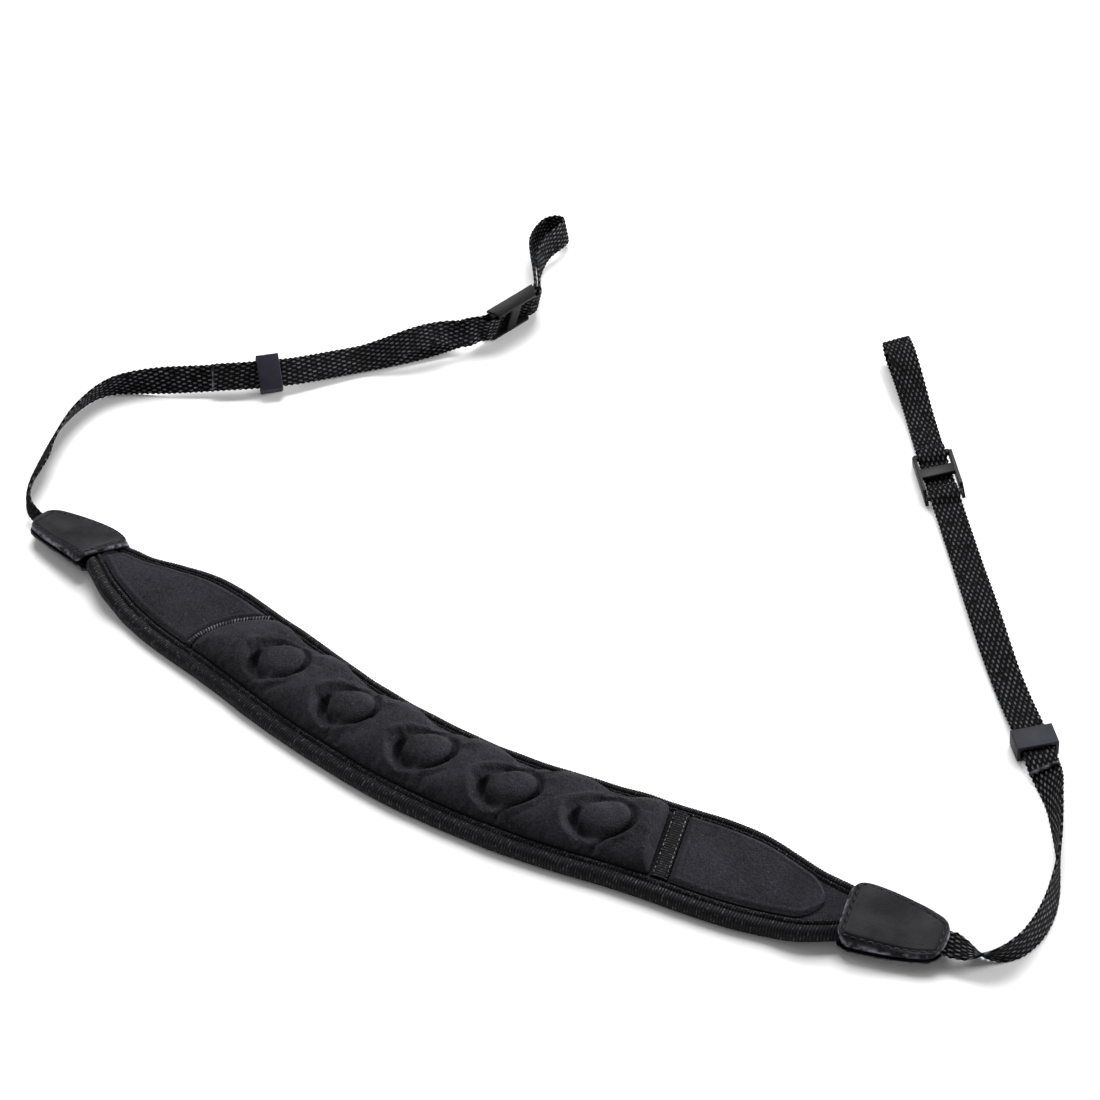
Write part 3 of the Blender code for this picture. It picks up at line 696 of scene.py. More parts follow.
@dataclass(frozen=True)
class Knit(Finish):
    """Brushed polyester jersey glued to neoprene: dull, with painted glints as specks on its loops.

    Attributes:
        loop_mm: width of its loops; real ones are 0.4 mm, drawn coarser so that they show.
        speck_glint_mm: distance between the painted glints of fibre ends.
        sheen_patch_mm: width of the lighter patches, painted sheen where the nap lies another way.
    """

    loop_mm: float = 0.75
    speck_glint_mm: float = 1.1
    sheen_patch_mm: float = 14.0

    def pattern(self, tree: Tree) -> Pattern:
        """Fine loops with painted shade in their hollows, scattered painted glints as specks, and
        slow patches of painted sheen.

        Args:
            tree: the material's nodes.

        Returns:
            Its colour, and its relief from 0 to 1.
        """
        place = add_node(tree, "TexCoord").outputs["Object"]
        scale = 1.0 / (self.loop_mm * MM)
        cells = add_node(tree, "TexVoronoi", {"Vector": place, "Scale": scale, "Randomness": 0.75})
        loops = add_node(tree, "Math", {0: 1.0, 1: cells}, operation="SUBTRACT")
        # Loop tops are painted lighter and their hollows darker: painted shade.
        ends = {"From Min": 0.2, "From Max": 0.95, "To Max": 0.35}
        share = add_node(tree, "MapRange", {"Value": loops, **ends})
        # Painted glints on fibre ends, and painted sheen in patches where the nap lies another way.
        for light in (
            patches(tree, self.speck_glint_mm, 1.0, (0.64, 0.80), most=0.55),
            patches(tree, self.sheen_patch_mm, 3.0, (0.35, 0.75), most=0.25),
        ):
            share = add_node(tree, "Math", {0: share, 1: light}, operation="ADD")
        return self.blend(tree, share), loops


@dataclass(frozen=True)
class Grosgrain(Finish):
    """Ribbed polyester tape: filament ribs across it, painted lighter along their backs as a
    highlight.

    Attributes:
        glint_mm: distance between the breaks in their painted highlights.
    """

    glint_mm: float = 1.3

    def pattern(self, tree: Tree) -> Pattern:
        """Ribs across the tape by its own cloth coordinates, painted darker in their troughs as
        shade and lighter on their backs as broken grey highlights.

        Args:
            tree: the material's nodes.

        Returns:
            Its colour, and its relief from 0 to 1.
        """
        cloth = add_node(tree, "SeparateXYZ", {0: add_node(tree, "UVMap", uv_map="cloth")})
        turns = add_node(tree, "Math", {0: cloth, 1: math.tau / TAPE_RIB}, operation="MULTIPLY")
        wave = add_node(tree, "Math", {0: turns}, operation="SINE")
        ribs = add_node(tree, "MapRange", {"Value": wave, "From Min": -1.0})
        # Painted highlights on the ribs' backs, broken into glints, and painted shade in the
        # troughs between ribs.
        backs = add_node(tree, "Math", {0: ribs, 1: 2.0}, operation="POWER")
        glints = patches(tree, self.glint_mm, spread=(0.54, 0.72))
        shine = add_node(tree, "Math", {0: backs, 1: glints}, operation="MULTIPLY")
        share = add_node(tree, "Math", {0: ribs, 1: 0.12, 2: shine}, operation="MULTIPLY_ADD")
        return self.blend(tree, share), ribs


@dataclass(frozen=True)
class Weave(Finish):
    """Coarse spun-nylon webbing: dull black yarns whose floats are painted with grey highlights.

    Attributes:
        highlight_patch_mm: width of the patches where the floats' painted highlights show.
        fibre_mm: thickness of a bundle of fibres.
    """

    highlight_patch_mm: float = 2.4
    fibre_mm: float = 0.35

    def pattern(self, tree: Tree) -> Pattern:
        """Painted grey highlights on the yarns' floats, which rise where the mesh rises, and grey
        on the melted end.

        Args:
            tree: the material's nodes.

        Returns:
            Its colour, and its relief from 0 to 1.
        """
        cloth = add_node(tree, "SeparateXYZ", {0: add_node(tree, "UVMap", uv_map="cloth")})
        along, across = cloth.outputs[0], cloth.outputs[1]
        skewed = {0: across, 1: WEAVE_SKEW, 2: along}
        skewed = add_node(tree, "Math", skewed, operation="MULTIPLY_ADD")
        waves = {}
        for place, period in ((skewed, PICK), (across, COLUMN)):
            turns = add_node(tree, "Math", {0: place, 1: math.tau / period}, operation="MULTIPLY")
            waves[len(waves)] = add_node(tree, "Math", {0: turns}, operation="COSINE")
        lift = add_node(tree, "Math", waves, operation="MULTIPLY")
        # The floats' tops are painted grey as highlights, broken up along the fibres and shown only
        # in patches; the melted end is grey too, in the same patches.
        floats = add_node(tree, "MapRange", {"Value": lift, "From Min": 0.12, "From Max": 0.85})
        highlight_patches = patches(tree, self.highlight_patch_mm, spread=(0.30, 0.62))
        fibres = patches(tree, self.fibre_mm)
        fibre_glints = add_node(tree, "MapRange", {"Value": fibres, "From Min": 0.20, "From Max": 0.66})
        melted = add_node(tree, "Attribute", attribute_name="melt").outputs["Fac"]
        melted = add_node(tree, "Math", {0: melted, 1: 0.6}, operation="MULTIPLY")
        floats = add_node(tree, "Math", {0: floats, 1: fibre_glints}, operation="MULTIPLY")
        share = add_node(tree, "Math", {0: floats, 1: melted}, operation="MAXIMUM")
        share = add_node(tree, "Math", {0: share, 1: highlight_patches}, operation="MULTIPLY")
        relief = add_node(tree, "Math", {0: lift, 1: 0.5, 2: fibres}, operation="MULTIPLY_ADD")
        return self.blend(tree, share), relief


@dataclass(frozen=True)
class Thread(Finish):
    """Twisted polyester sewing thread, a little glossy.

    Attributes:
        twist_mm: distance between the turns of its twist.
        stretch_mm: length of its lighter and darker stretches.
    """

    twist_mm: float = 0.5
    stretch_mm: float = 3.0

    def pattern(self, tree: Tree) -> Pattern:
        """Fine twist, with some stretches lighter than others."""
        share = patches(tree, self.stretch_mm, spread=(0.40, 0.66))
        return self.blend(tree, share), patches(tree, self.twist_mm, 1.0)


@dataclass(frozen=True)
class Hide(Finish):
    """Soft drum-dyed leather: pebbled, blotchy in its sheen, its rims lighter in spots, partly from
    wear and partly a painted highlight.

    Attributes:
        pebble_mm: width of a pebble of its grain.
        rim_spot_mm: distance between the lighter spots of its rims, partly wear and partly painted
            highlight.
        blotch_mm: width of the blotches that drumming leaves.
    """

    pebble_mm: float = 0.6
    rim_spot_mm: float = 2.2
    blotch_mm: float = 7.0

    def pattern(self, tree: Tree) -> Pattern:
        """Pebbles, slow blotches, and the rim's lighter spots, partly wear and partly painted
        highlight, on the rim that the mesh marks.

        Args:
            tree: the material's nodes.

        Returns:
            Its colour, and its relief from 0 to 1.
        """
        place = add_node(tree, "TexCoord").outputs["Object"]
        cells = {"Vector": place, "Scale": 1.0 / (self.pebble_mm * MM), "Smoothness": 0.6}
        cells = add_node(tree, "TexVoronoi", cells, feature="SMOOTH_F1")
        pebbles = add_node(tree, "Math", {0: 1.0, 1: cells}, operation="SUBTRACT")
        # The rim is painted lighter in spots: partly wear, partly a painted highlight where the rim
        # catches light.
        rim = add_node(tree, "Attribute", attribute_name="rim").outputs["Fac"]
        spots = patches(tree, self.rim_spot_mm, spread=(0.4, 0.62), most=0.8)
        rim_wear_and_highlight = add_node(tree, "Math", {0: rim, 1: spots}, operation="MULTIPLY")
        blotches = patches(tree, self.blotch_mm, 4.0, (0.34, 0.70))
        share, relief = (
            add_node(tree, "Math", {0: blotches, 1: weight, 2: rest}, operation="MULTIPLY_ADD")
            for weight, rest in ((0.04, rim_wear_and_highlight), (1.5, pebbles))
        )
        return self.blend(tree, share), relief


@dataclass(frozen=True)
class Moulded(Finish):
    """Injection-moulded acetal: satin from the tool's fine spark texture.

    Attributes:
        spark_mm: grain of the tool's texture.
        flow_mm: width of the faint marks where the plastic flowed.
    """

    spark_mm: float = 0.4
    flow_mm: float = 6.0

    def pattern(self, tree: Tree) -> Pattern:
        """The tool's fine texture and faint flow marks."""
        flow = patches(tree, self.flow_mm, 3.0, (0.35, 0.75))
        return self.blend(tree, flow), patches(tree, self.spark_mm)


# The light colours of the knit, the tape and the webbing are painted highlights on their loops,
# ribs and floats.
KNIT = Knit(
    "brushed_jersey_on_neoprene", "neoprene_knit", "#121214", "#3a3942", 0.90, 0.16, 0.12, 0.04,
)
TAPE = Grosgrain("grosgrain_tape", "grosgrain_binding", "#050506", "#4e4e53", 0.60, 0.22, 0.10)
WEAVE = Weave("spun_nylon_webbing", "nylon_webbing", "#040405", "#77777b", 0.80, 0.14, 0.06)
OVERCAST = Thread(
    "charcoal_overlock_thread", "overcast_thread", "#161618", "#77777c", 0.60, 0.05, 0.25,
)
BLACK_THREAD = replace(OVERCAST, name="black_sewing_thread", dark="#040405", light="#29292d")
# The leather's light colour shows only in the spots on its rims: partly wear, partly painted
# highlight.
HIDE = Hide("drum_dyed_leather", "soft_leather", "#0f0e12", "#838190", 0.52, 0.05, 0.11)
GREY_ACETAL = Moulded("grey_acetal", "keeper_plastic", "#201f28", "#2a2934", 0.52, 0.03, 0.12)
BLACK_ACETAL = Moulded("black_acetal", "buckle_plastic", "#070708", "#111113", 0.45, 0.03, 0.15)


def place_piece(piece: Piece, finish: Finish, *nodes: str) -> Piece:
    """Dresses a piece, makes it ride with the strap and stand for its solids.

    Args:
        piece: the finished piece.
        finish: its finish.
        nodes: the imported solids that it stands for.

    Returns:
        The same piece.
    """
    finish.dress(piece)
    if nodes:
        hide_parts(*nodes)
    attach(piece, "root")
    LOG.info("%s: %d faces, %s", piece.name, len(piece.data.polygons), finish.name)
    return piece


# ---- neck pad
@dataclass
class PadPiece:
    """Something that lies in the pad's own space.

    Attributes:
        space: that space.
    """

    space: PadSpace

    def even_rows(self, step: float) -> Array:
        """Even places along the whole pad, as a column."""
        end = self.space.end
        return np.linspace(-end, end, round(2 * end / step) + 1)[:, None]


@dataclass
class FoamBase(PadPiece):
    """The neoprene foam of the pad, pressed thin where its edge tapes fold over it.

    Attributes:
        tape: thickness of the edge tape.
        round_off: radius of the pressed rim's corners.
        lanes: points across its top and its underside.
        step: distance between rings.
    """

    tape: float = 0.9
    round_off: float = 0.3
    lanes: int = 21
    step: float = 1.5

    def build(self) -> Piece:
        """Lays the foam's outline in rings along the pad.

        Returns:
            The foam as one closed, padded piece.
        """
        space, r = self.space, self.round_off
        # The tape is as thick under the rim and over it as beside it.
        low, high = self.tape + CLEARANCE, space.edge_height - self.tape - CLEARANCE
        along = self.even_rows(self.step)
        half = space.half_width(along)
        inner, outer = half - space.inset, half - low
        rim = [(inner, low / 3), (inner + r, low), (outer - r, low), (outer, low + r)]
        rim += [(outer, high - r), (outer - r, high), (inner + r, high), (inner, high + r)]
        sides = np.linspace(-1.0, 1.0, self.lanes)
        outline = [(inner * side, 0.0) for side in sides] + rim
        outline += [(inner * side, space.thick) for side in sides[::-1]]
        outline += [(-across, height) for across, height in rim[::-1]]
        across = np.concatenate([across for across, _ in outline], axis=1)
        height = np.array([height for _, height in outline])
        rings = space.points(along, across, height)
        piece = place_piece(loft("foam_base", rings, along, across), KNIT, "pad_base")
        return piece


# Sections of the folded tapes, from the end under the pad round to the end on top of it, then
# back along the inside. Each is a ribbed roll, a groove, and a sewn ridge by the panels. The
# columns are the distance inward from the pad's edge and the height above its underside.
FOLD_UNDER = (
    (4.2, 0.9), (4.2, 0.05), (3.2, 0.0), (1.9, 0.0), (0.95, 0.25), (0.38, 0.85), (0.08, 1.6),
    (0.0, 2.5), (0.06, 3.35),
)
FOLD_INSIDE = ((4.0, 4.1), (2.5, 4.1), (0.95, 4.1), (0.9, 2.5), (0.95, 0.9), (2.5, 0.9))
FAR_FOLD = FOLD_UNDER + (
    (0.32, 4.15), (0.8, 4.72), (1.3, 4.98), (1.8, 5.02), (2.25, 4.90), (2.55, 4.60),
    (2.70, 4.28), (2.86, 4.30), (3.02, 4.62), (3.25, 4.86), (3.55, 4.88), (3.80, 4.66),
    (4.0, 4.32), (4.18, 4.14),
) + FOLD_INSIDE
NEAR_FOLD = FOLD_UNDER + (
    (0.35, 4.10), (0.90, 4.70), (1.6, 5.05), (2.4, 5.20), (3.2, 5.18), (3.8, 5.00),
    (4.15, 4.70), (4.40, 4.30), (4.62, 4.28), (4.85, 4.66), (5.15, 5.05), (5.55, 5.20),
    (5.95, 5.12), (6.30, 4.85), (6.60, 4.52), (4.8, 4.26),
) + FOLD_INSIDE


@dataclass
class EdgeTape(PadPiece):
    """Grosgrain tape folded round one long edge of the pad and sewn down.

    Attributes:
        name: near or far.
        side: 1 for the far edge, -1 for the near one.
        fold: its section.
        stitch_in: distance of the seam from the pad's edge.
        stitch_height: height of the seam.
        rib_rise: height of a rib.
        slack: how far it wanders off its section.
        stitch: one of its stitches.
        pull: how far each draws the tape down.
    """

    name: str
    side: int
    fold: tuple[tuple[float, float], ...]
    stitch_in: float
    stitch_height: float
    rib_rise: float = 0.10
    slack: float = 0.20
    stitch: Stitch = Stitch(length=1.8, thick=0.34, arch=0.20, pitch=2.7)
    pull: float = 0.14

    def tape(self) -> Piece:
        """Folds the tape, with its ribs, its slack and the dents of its stitches.

        Returns:
            The tape as a folded sheet.
        """
        space = self.space
        inward, height = (np.array(column) for column in zip(*self.fold))
        along = self.even_rows(TAPE_RIB / 4)
        outside = np.arange(len(height)) < len(height) - len(FOLD_INSIDE)
        # The ribs and the slack show on the roll, but not under the pad or past the groove.
        shown = smooth(height, 0.2, 1.4) * outside
        shown = shown * smooth(self.stitch_in - 0.4 - inward, 0.0, 0.5)
        ribs = self.rib_rise * np.cos(math.tau * along / TAPE_RIB) * shown
        slack = self.slack * value_noise(along / 9.0, inward * 0.2 + 3.0 * self.side) * shown
        sewn = bell(inward - self.stitch_in, 0.5) * (height > space.thick + 0.1)
        pull = self.pull * sewn * (1.0 + np.cos(math.tau * along / self.stitch.pitch))
        across = self.side * (space.half_width(along) - inward + (ribs + slack) * 0.6)
        tall = np.maximum(height + (ribs + slack) * smooth(height, 3.0, 4.6) - pull, 0.0)
        around = run_total(np.hypot(np.diff(inward), np.diff(height)))
        rings = space.points(along, across, tall)
        tape = loft(f"edge_tape_{self.name}", rings, along, around)
        place_piece(tape, TAPE, f"binding_{self.name}")
        return tape

    def seam(self) -> Piece:
        """Sews the row of stitches along the tape's inner ridge.

        Returns:
            The stitches as one piece.
        """
        along = self.even_rows(TAPE_RIB / 4)
        across = self.side * (self.space.half_width(along) - self.stitch_in)
        line = self.space.points(along, across, self.stitch_height - 0.02)[:, 0]
        return place_piece(self.stitch.run(f"edge_stitches_{self.name}", line), BLACK_THREAD)

    def build(self) -> list[Piece]:
        """The tape and its row of stitches."""
        return [self.tape(), self.seam()]


@dataclass(frozen=True)
class EndLine:
    """A panel's end, drawn across the pad.

    Attributes:
        middle: its place along the pad's centre line.
        slant: how far it leans along the pad, for each unit across.
        bow: how far its middle bulges along the pad past its two ends.
    """

    middle: float
    slant: float = 0.0
    bow: float = 0.0

    def moved(self, distance: float) -> EndLine:
        """The same line, that much further along the pad."""
        return replace(self, middle=self.middle + distance)

    def at(self, side: Array, half_width: WidthRule) -> Array:
        """Place along the pad.

        Args:
            side: share of the way from the middle to an edge, from -1 to 1.
            half_width: gives the panel's half width at a place along the pad.

        Returns:
            The places.
        """
        lean = self.slant * side * half_width(np.array(self.middle))
        return self.middle + lean + self.bow * (1.0 - side * side)


@dataclass
class PanelGrid(PadPiece):
    """Grid of places on a raised panel, in rows along the pad and lanes across it.

    Attributes:
        start: its left end.
        stop: its right end.
        rows: steps along it.
        lanes: steps across it.
        corners: radius of its corners at its left and right ends.
        crowding: how much closer its rows lie at its ends, from 0 to 1.
        middle: gives the distance across the pad to its middle, if not the raised panels'.
        half_width: gives half its width, if not theirs.
        side: share of the way from its middle to an edge, from -1 to 1, for each lane.
        along: place of each point along the pad.
        across: place of each point across it.
        half: half its width at each point.
        from_start: distance of each point from its left end.
        to_stop: distance of each point from its right end.
    """

    start: EndLine
    stop: EndLine
    rows: int
    lanes: int
    corners: tuple[float, float] = (0.0, 0.0)
    crowding: float = 0.0
    middle: WidthRule | None = None
    half_width: WidthRule | None = None
    side: Array = field(init=False)
    along: Array = field(init=False)
    across: Array = field(init=False)
    half: Array = field(init=False)
    from_start: Array = field(init=False)
    to_stop: Array = field(init=False)

    def __post_init__(self) -> None:
        """Works out the places of the grid's points."""
        middle = self.middle or self.space.panel_middle
        half_width = self.half_width or self.space.panel_half_width
        share = np.linspace(0.0, 1.0, self.rows + 1)[:, None]
        share = share - self.crowding * np.sin(math.tau * share) / math.tau
        self.side = np.sin(np.linspace(-0.5, 0.5, self.lanes + 1) * math.pi)[None, :]
        first, last = (line.at(self.side, half_width) for line in (self.start, self.stop))
        self.along = first + (last - first) * share
        self.from_start = self.along - first
        self.to_stop = last - self.along
        self.half = half_width(self.along)
        for radius, away in zip(self.corners, (self.from_start, self.to_stop)):
            if radius:
                lost = np.clip(radius - away, 0.0, radius)
                self.half = self.half - (radius - np.sqrt(radius**2 - lost**2)) * 0.98
        self.across = middle(self.along) + self.side * self.half

    @property
    def to_rim(self) -> Array:
        """Distance of each point from the nearest rim."""
        to_side = self.half * (1.0 - np.abs(self.side))
        return np.minimum(to_side, np.minimum(self.from_start, self.to_stop))

    def closed(
        self, name: str, top: Array, floor: Array | float, across: Array | None = None,
        values: dict[str, Array] | None = None, cross_grain: bool = False,
        moved: Array | None = None,
    ) -> Piece:
        """A closed panel under the grid's top, with a plain underside.

        Args:
            name: the piece's name.
            top: height of each grid point.
            floor: height of the underside below each.
            across: places across the pad, where they aren't the grid's own.
            values: further numbers for the top's points.
            cross_grain: whether the cloth's length runs across the pad.
            moved: how far a simulation has moved each of the top's points.

        Returns:
            The piece.
        """
        # The underside is plain, so it has a few lanes only, and they run back.
        pick = np.linspace(1, self.lanes - 1, min(self.lanes - 1, 11)).round().astype(int)[::-1]
        across = self.across if across is None else across
        along, across, height = (
            np.concatenate((grid, under[:, pick]), axis=1) for grid, under in (
                (self.along, self.along), (across, self.across),
                (top, np.broadcast_to(floor, top.shape)),
            )
        )
        numbers = {
            key: np.concatenate((grid, np.zeros_like(grid[:, pick])), axis=1)
            for key, grid in (values or {}).items()
        }
        cloth = (across, along) if cross_grain else (along, across)
        points = self.space.points(along, across, height)
        if moved is not None:
            points[:, :moved.shape[1]] += moved
        return loft(name, points, *cloth, numbers)


@dataclass(frozen=True)
class Filling:
    """Pressure under a sewn panel, worked out as a short cloth simulation.

    Attributes:
        pressure: the cloth modifier's pressure.
        slack: share by which the cloth is larger than its form, so that it creases.
        frames: steps of the simulation.
        limit: the furthest that a point may move.
        scale: size at which it is worked out, because cells of a millimetre are unsteady.
    """

    pressure: float = 4.0
    slack: float = 0.03
    frames: int = 20
    limit: float = 1.2
    scale: float = 10.0

    def cloth(self, points: Array, sewn: Array) -> Piece:
        """The panel's top as a cloth that is held where it is sewn.

        Args:
            points: rows of points, in metres.
            sewn: which of them are held.

        Returns:
            The cloth, with its modifier.
        """
        index = np.arange(sewn.size).reshape(sewn.shape)
        cells = np.stack((index[:-1, :-1], index[1:, :-1], index[1:, 1:], index[:-1, 1:]), axis=-1)
        mesh = bpy.data.meshes.new("filling")
        mesh.from_pydata(points.reshape(-1, 3).tolist(), [], cells.reshape(-1, 4).tolist())
        cloth = add_object("filling", mesh)
        cloth.vertex_groups.new(name="sewn").add(index[sewn].tolist(), 1.0, "REPLACE")
        modifier = cloth.modifiers.new("filling", "CLOTH")
        settings = modifier.settings
        settings.vertex_group_mass = "sewn"
        settings.quality = 6
        settings.mass = 0.3
        settings.tension_stiffness = settings.compression_stiffness = 15.0
        settings.bending_stiffness = 0.5
        settings.use_pressure = True
        settings.uniform_pressure_force = self.pressure
        settings.shrink_min = settings.shrink_max = -self.slack
        settings.effector_weights.gravity = 0.0
        modifier.collision_settings.use_collision = False
        modifier.point_cache.frame_start, modifier.point_cache.frame_end = 1, self.frames
        return cloth

    def moves(self, points: Array, sewn: Array) -> Array:
        """How far the filling moves each point of a panel's top.

        Args:
            points: rows of points.
            sewn: which of them are held.

        Returns:
            The moves, each no longer than the limit.
        """
        size = MM * self.scale
        cloth = self.cloth(points * size, sewn)
        for frame in range(1, self.frames + 1):
            bpy.context.scene.frame_set(frame)
        settled = cloth.evaluated_get(bpy.context.evaluated_depsgraph_get()).data
        places = np.empty(points.size)
        settled.vertices.foreach_get("co", places)
        bpy.context.scene.frame_set(1)
        bpy.data.meshes.remove(cloth.data)
        moved = places.reshape(points.shape) / size - points
        far = np.linalg.norm(moved, axis=-1, keepdims=True)
        return moved * self.limit * np.tanh(far / self.limit) / np.maximum(far, 1e-9)


class Button(NamedTuple):
    """A button's place along and across the pad, and the depth of the pleat beside it."""

    along: float
    across: float
    pleat: float


class RingRow(NamedTuple):
    """A button's sunken ring in one direction: its depth, and the width of its two walls."""

    direction_deg: float
    depth: float
    outer: float
    inner: float


@dataclass
class Cushion(PadPiece):
    """The filled panel, pinched down in a ring round each of its buttons.

    Attributes:
        start: its left end.
        stop: its right end.
        edge: its thickness where it is sewn down.
        swell: mean rise of the filling.
        wave: share of that which comes and goes between the buttons, along its middle.
        scallop: how much more of it does so at the two long edges.
        overhang: how far it bulges over the far tape between the buttons.
        tuck: how far its far edge is drawn in at each button.
        pitch: distance between buttons.
        shift: how far right of the pad's middle the row of buttons lies.
        ramp: length of its rise from its left end, on its far and its near side.
        right_ramp: length of its rise from its right end.
        buttons: its buttons from the left, each a little off the even row.
        ring: half the length and half the depth of the sunken ring.
        ring_rows: the ring all round, where 0 degrees is to the right and 90 straight back.
        dome: rise of the button inside it.
        lip: rise of the knit just outside it, at its right end and further at its left.
        gathers: depth and number of the small gathers round it.
        pleat_line: a pleat's line, from the ring's right end round to the near edge, by
            the distance from the button along the pad and across it.
        pleat_profile: a pleat's depth, and the rises on its right and its left.
        filling: the simulation that puffs it up.
    """

    start: EndLine = EndLine(-88.6, 0.42, -4.2)
    stop: EndLine = EndLine(83.0, -0.125)
    edge: float = 0.9
    swell: float = 5.4
    wave: float = 0.16
    scallop: float = 0.24
    overhang: float = 1.2
    tuck: float = 0.9
    pitch: float = 32.3
    shift: float = 0.8
    ramp: tuple[float, float] = (20.0, 4.0)
    right_ramp: float = 4.5
    buttons: tuple[Button, ...] = (
        Button(-63.2, 1.4, 0.15), Button(-30.6, 2.2, 0.3), Button(1.6, 1.8, 0.4),
        Button(33.4, 1.2, 1.1), Button(65.4, 0.6, 1.2),
    )
    ring: tuple[float, float] = (9.2, 8.0)
    ring_rows: tuple[RingRow, ...] = (
        RingRow(-180.0, 6.0, 1.9, 1.3), RingRow(-160.0, 5.6, 1.9, 1.3),
        RingRow(-138.0, 2.6, 1.7, 1.6), RingRow(-116.0, 0.5, 1.2, 2.2),
        RingRow(-95.0, 1.2, 0.9, 2.0), RingRow(-70.0, 2.6, 0.8, 1.8),
        RingRow(-40.0, 3.6, 0.8, 1.8), RingRow(-10.0, 3.6, 0.8, 1.6),
        RingRow(15.0, 2.4, 0.8, 1.8), RingRow(45.0, 0.8, 0.9, 2.4),
        RingRow(75.0, 1.2, 0.7, 2.8), RingRow(105.0, 2.1, 0.7, 2.6),
        RingRow(130.0, 1.6, 0.8, 2.4), RingRow(148.0, 1.0, 1.3, 2.0),
        RingRow(165.0, 4.0, 1.8, 1.4), RingRow(180.0, 6.0, 1.9, 1.3),
    )
    dome: float = 1.6
    lip: tuple[float, float] = (0.2, 1.3)
    gathers: tuple[float, int] = (0.10, 12)
    pleat_line: tuple[tuple[float, float], ...] = (
        (9.4, 2.6), (9.0, -0.8), (7.0, -4.3), (4.0, -7.0), (1.6, -9.8), (0.8, -12.6), (1.2, -15.6),
    )
    pleat_profile: tuple[float, float, float] = (1.9, 0.65, 0.25)
    filling: Filling = Filling()

    def pleat_offset(self, along: Array, across: Array) -> tuple[Array, Array]:
        """Signed distance from a button's pleat, and the share of the way along it.

        Args:
            along: distance along the pad from the button.
            across: distance across the pad.

        Returns:
            The distance, positive on the pleat's right, and the share from 0 to 1.
        """
        fine = np.linspace(0.0, len(self.pleat_line) - 1.0, 73)
        line = np.stack([
            Curve(tuple(enumerate(column))).at(fine)
            for column in zip(*self.pleat_line)
        ], axis=1)
        away = np.stack((along, across), axis=-1)[..., None, :] - line
        distance = np.linalg.norm(away, axis=-1)
        nearest = distance.argmin(axis=-1)
        ahead = np.gradient(line, axis=0)[nearest]
        gap = np.take_along_axis(away, nearest[..., None, None], axis=-2)[..., 0, :]
        sign = np.sign(ahead[..., 0] * gap[..., 1] - ahead[..., 1] * gap[..., 0])
        return sign * distance.min(axis=-1), nearest / (len(fine) - 1.0)

    def pinch(self, reach: Array, turn: Array, along: Array, across: Array, pleat: float) -> Array:
        """How far a button draws its surroundings down.

        Args:
            reach: distance from the button, where 1 is its ring.
            turn: direction from the button, in degrees.
            along: distance along the pad from the button.
            across: distance across the pad from it.
            pleat: depth of the button's pleat.

        Returns:
            The drop, negative where the button itself stands up.
        """
        directions, *columns = zip(*self.ring_rows)
        depth, outer, inner = (np.interp(turn, directions, column) for column in columns)
        off = (reach - 1.0) * sum(self.ring) / 2
        drop = depth * bell(off, np.where(off > 0.0, outer, inner))
        drop -= self.dome * np.maximum(0.0, 1.0 - reach**2)
        lip, further = self.lip
        lip = lip + further * smooth(-np.cos(np.radians(turn - 5.0)), -0.2, 0.8)
        drop -= lip * bell(off - outer * 2.6, 1.5)
        gather, count = self.gathers
        drop -= gather * np.cos(np.radians(turn) * count) * bell(reach - 1.42, 0.28)
        off, share = self.pleat_offset(along, across)
        fold, right, left = self.pleat_profile
        fold = fold * bell(off, 0.70) - right * bell(off - 2.1, 1.7) + left * bell(off + 2.0, 1.4)
        return drop + pleat * smooth(share, 0.08, 0.32) * fold

    def reach(self, grid: PanelGrid, button: Button) -> tuple[Array, Array]:
        """Distance and direction of a grid's points from a button.

        Args:
            grid: the grid.
            button: the button.

        Returns:
            The distance, where 1 is the ring, and the direction in degrees.
        """
        heading = float(self.space.heading_at(np.array(button.along)))
        along, across = grid.along - button.along, grid.across - button.across
        right = along * math.cos(heading) - across * math.sin(heading)
        back = along * math.sin(heading) + across * math.cos(heading)
        distance = np.hypot(right / self.ring[0], back / self.ring[1])
        return distance, np.degrees(np.arctan2(back, right))

    def sewn(self, grid: PanelGrid) -> Array:
        """Finds the points that are held by stitches: the rim and the rings.

        Args:
            grid: the cushion's grid.

        Returns:
            Whether each point is held.
        """
        held = np.zeros(grid.along.shape, dtype=bool)
        held[[0, -1]] = held[:, [0, -1]] = True
        for button in self.buttons:
            held |= np.abs(self.reach(grid, button)[0] - 1.0) < 0.09
        return held

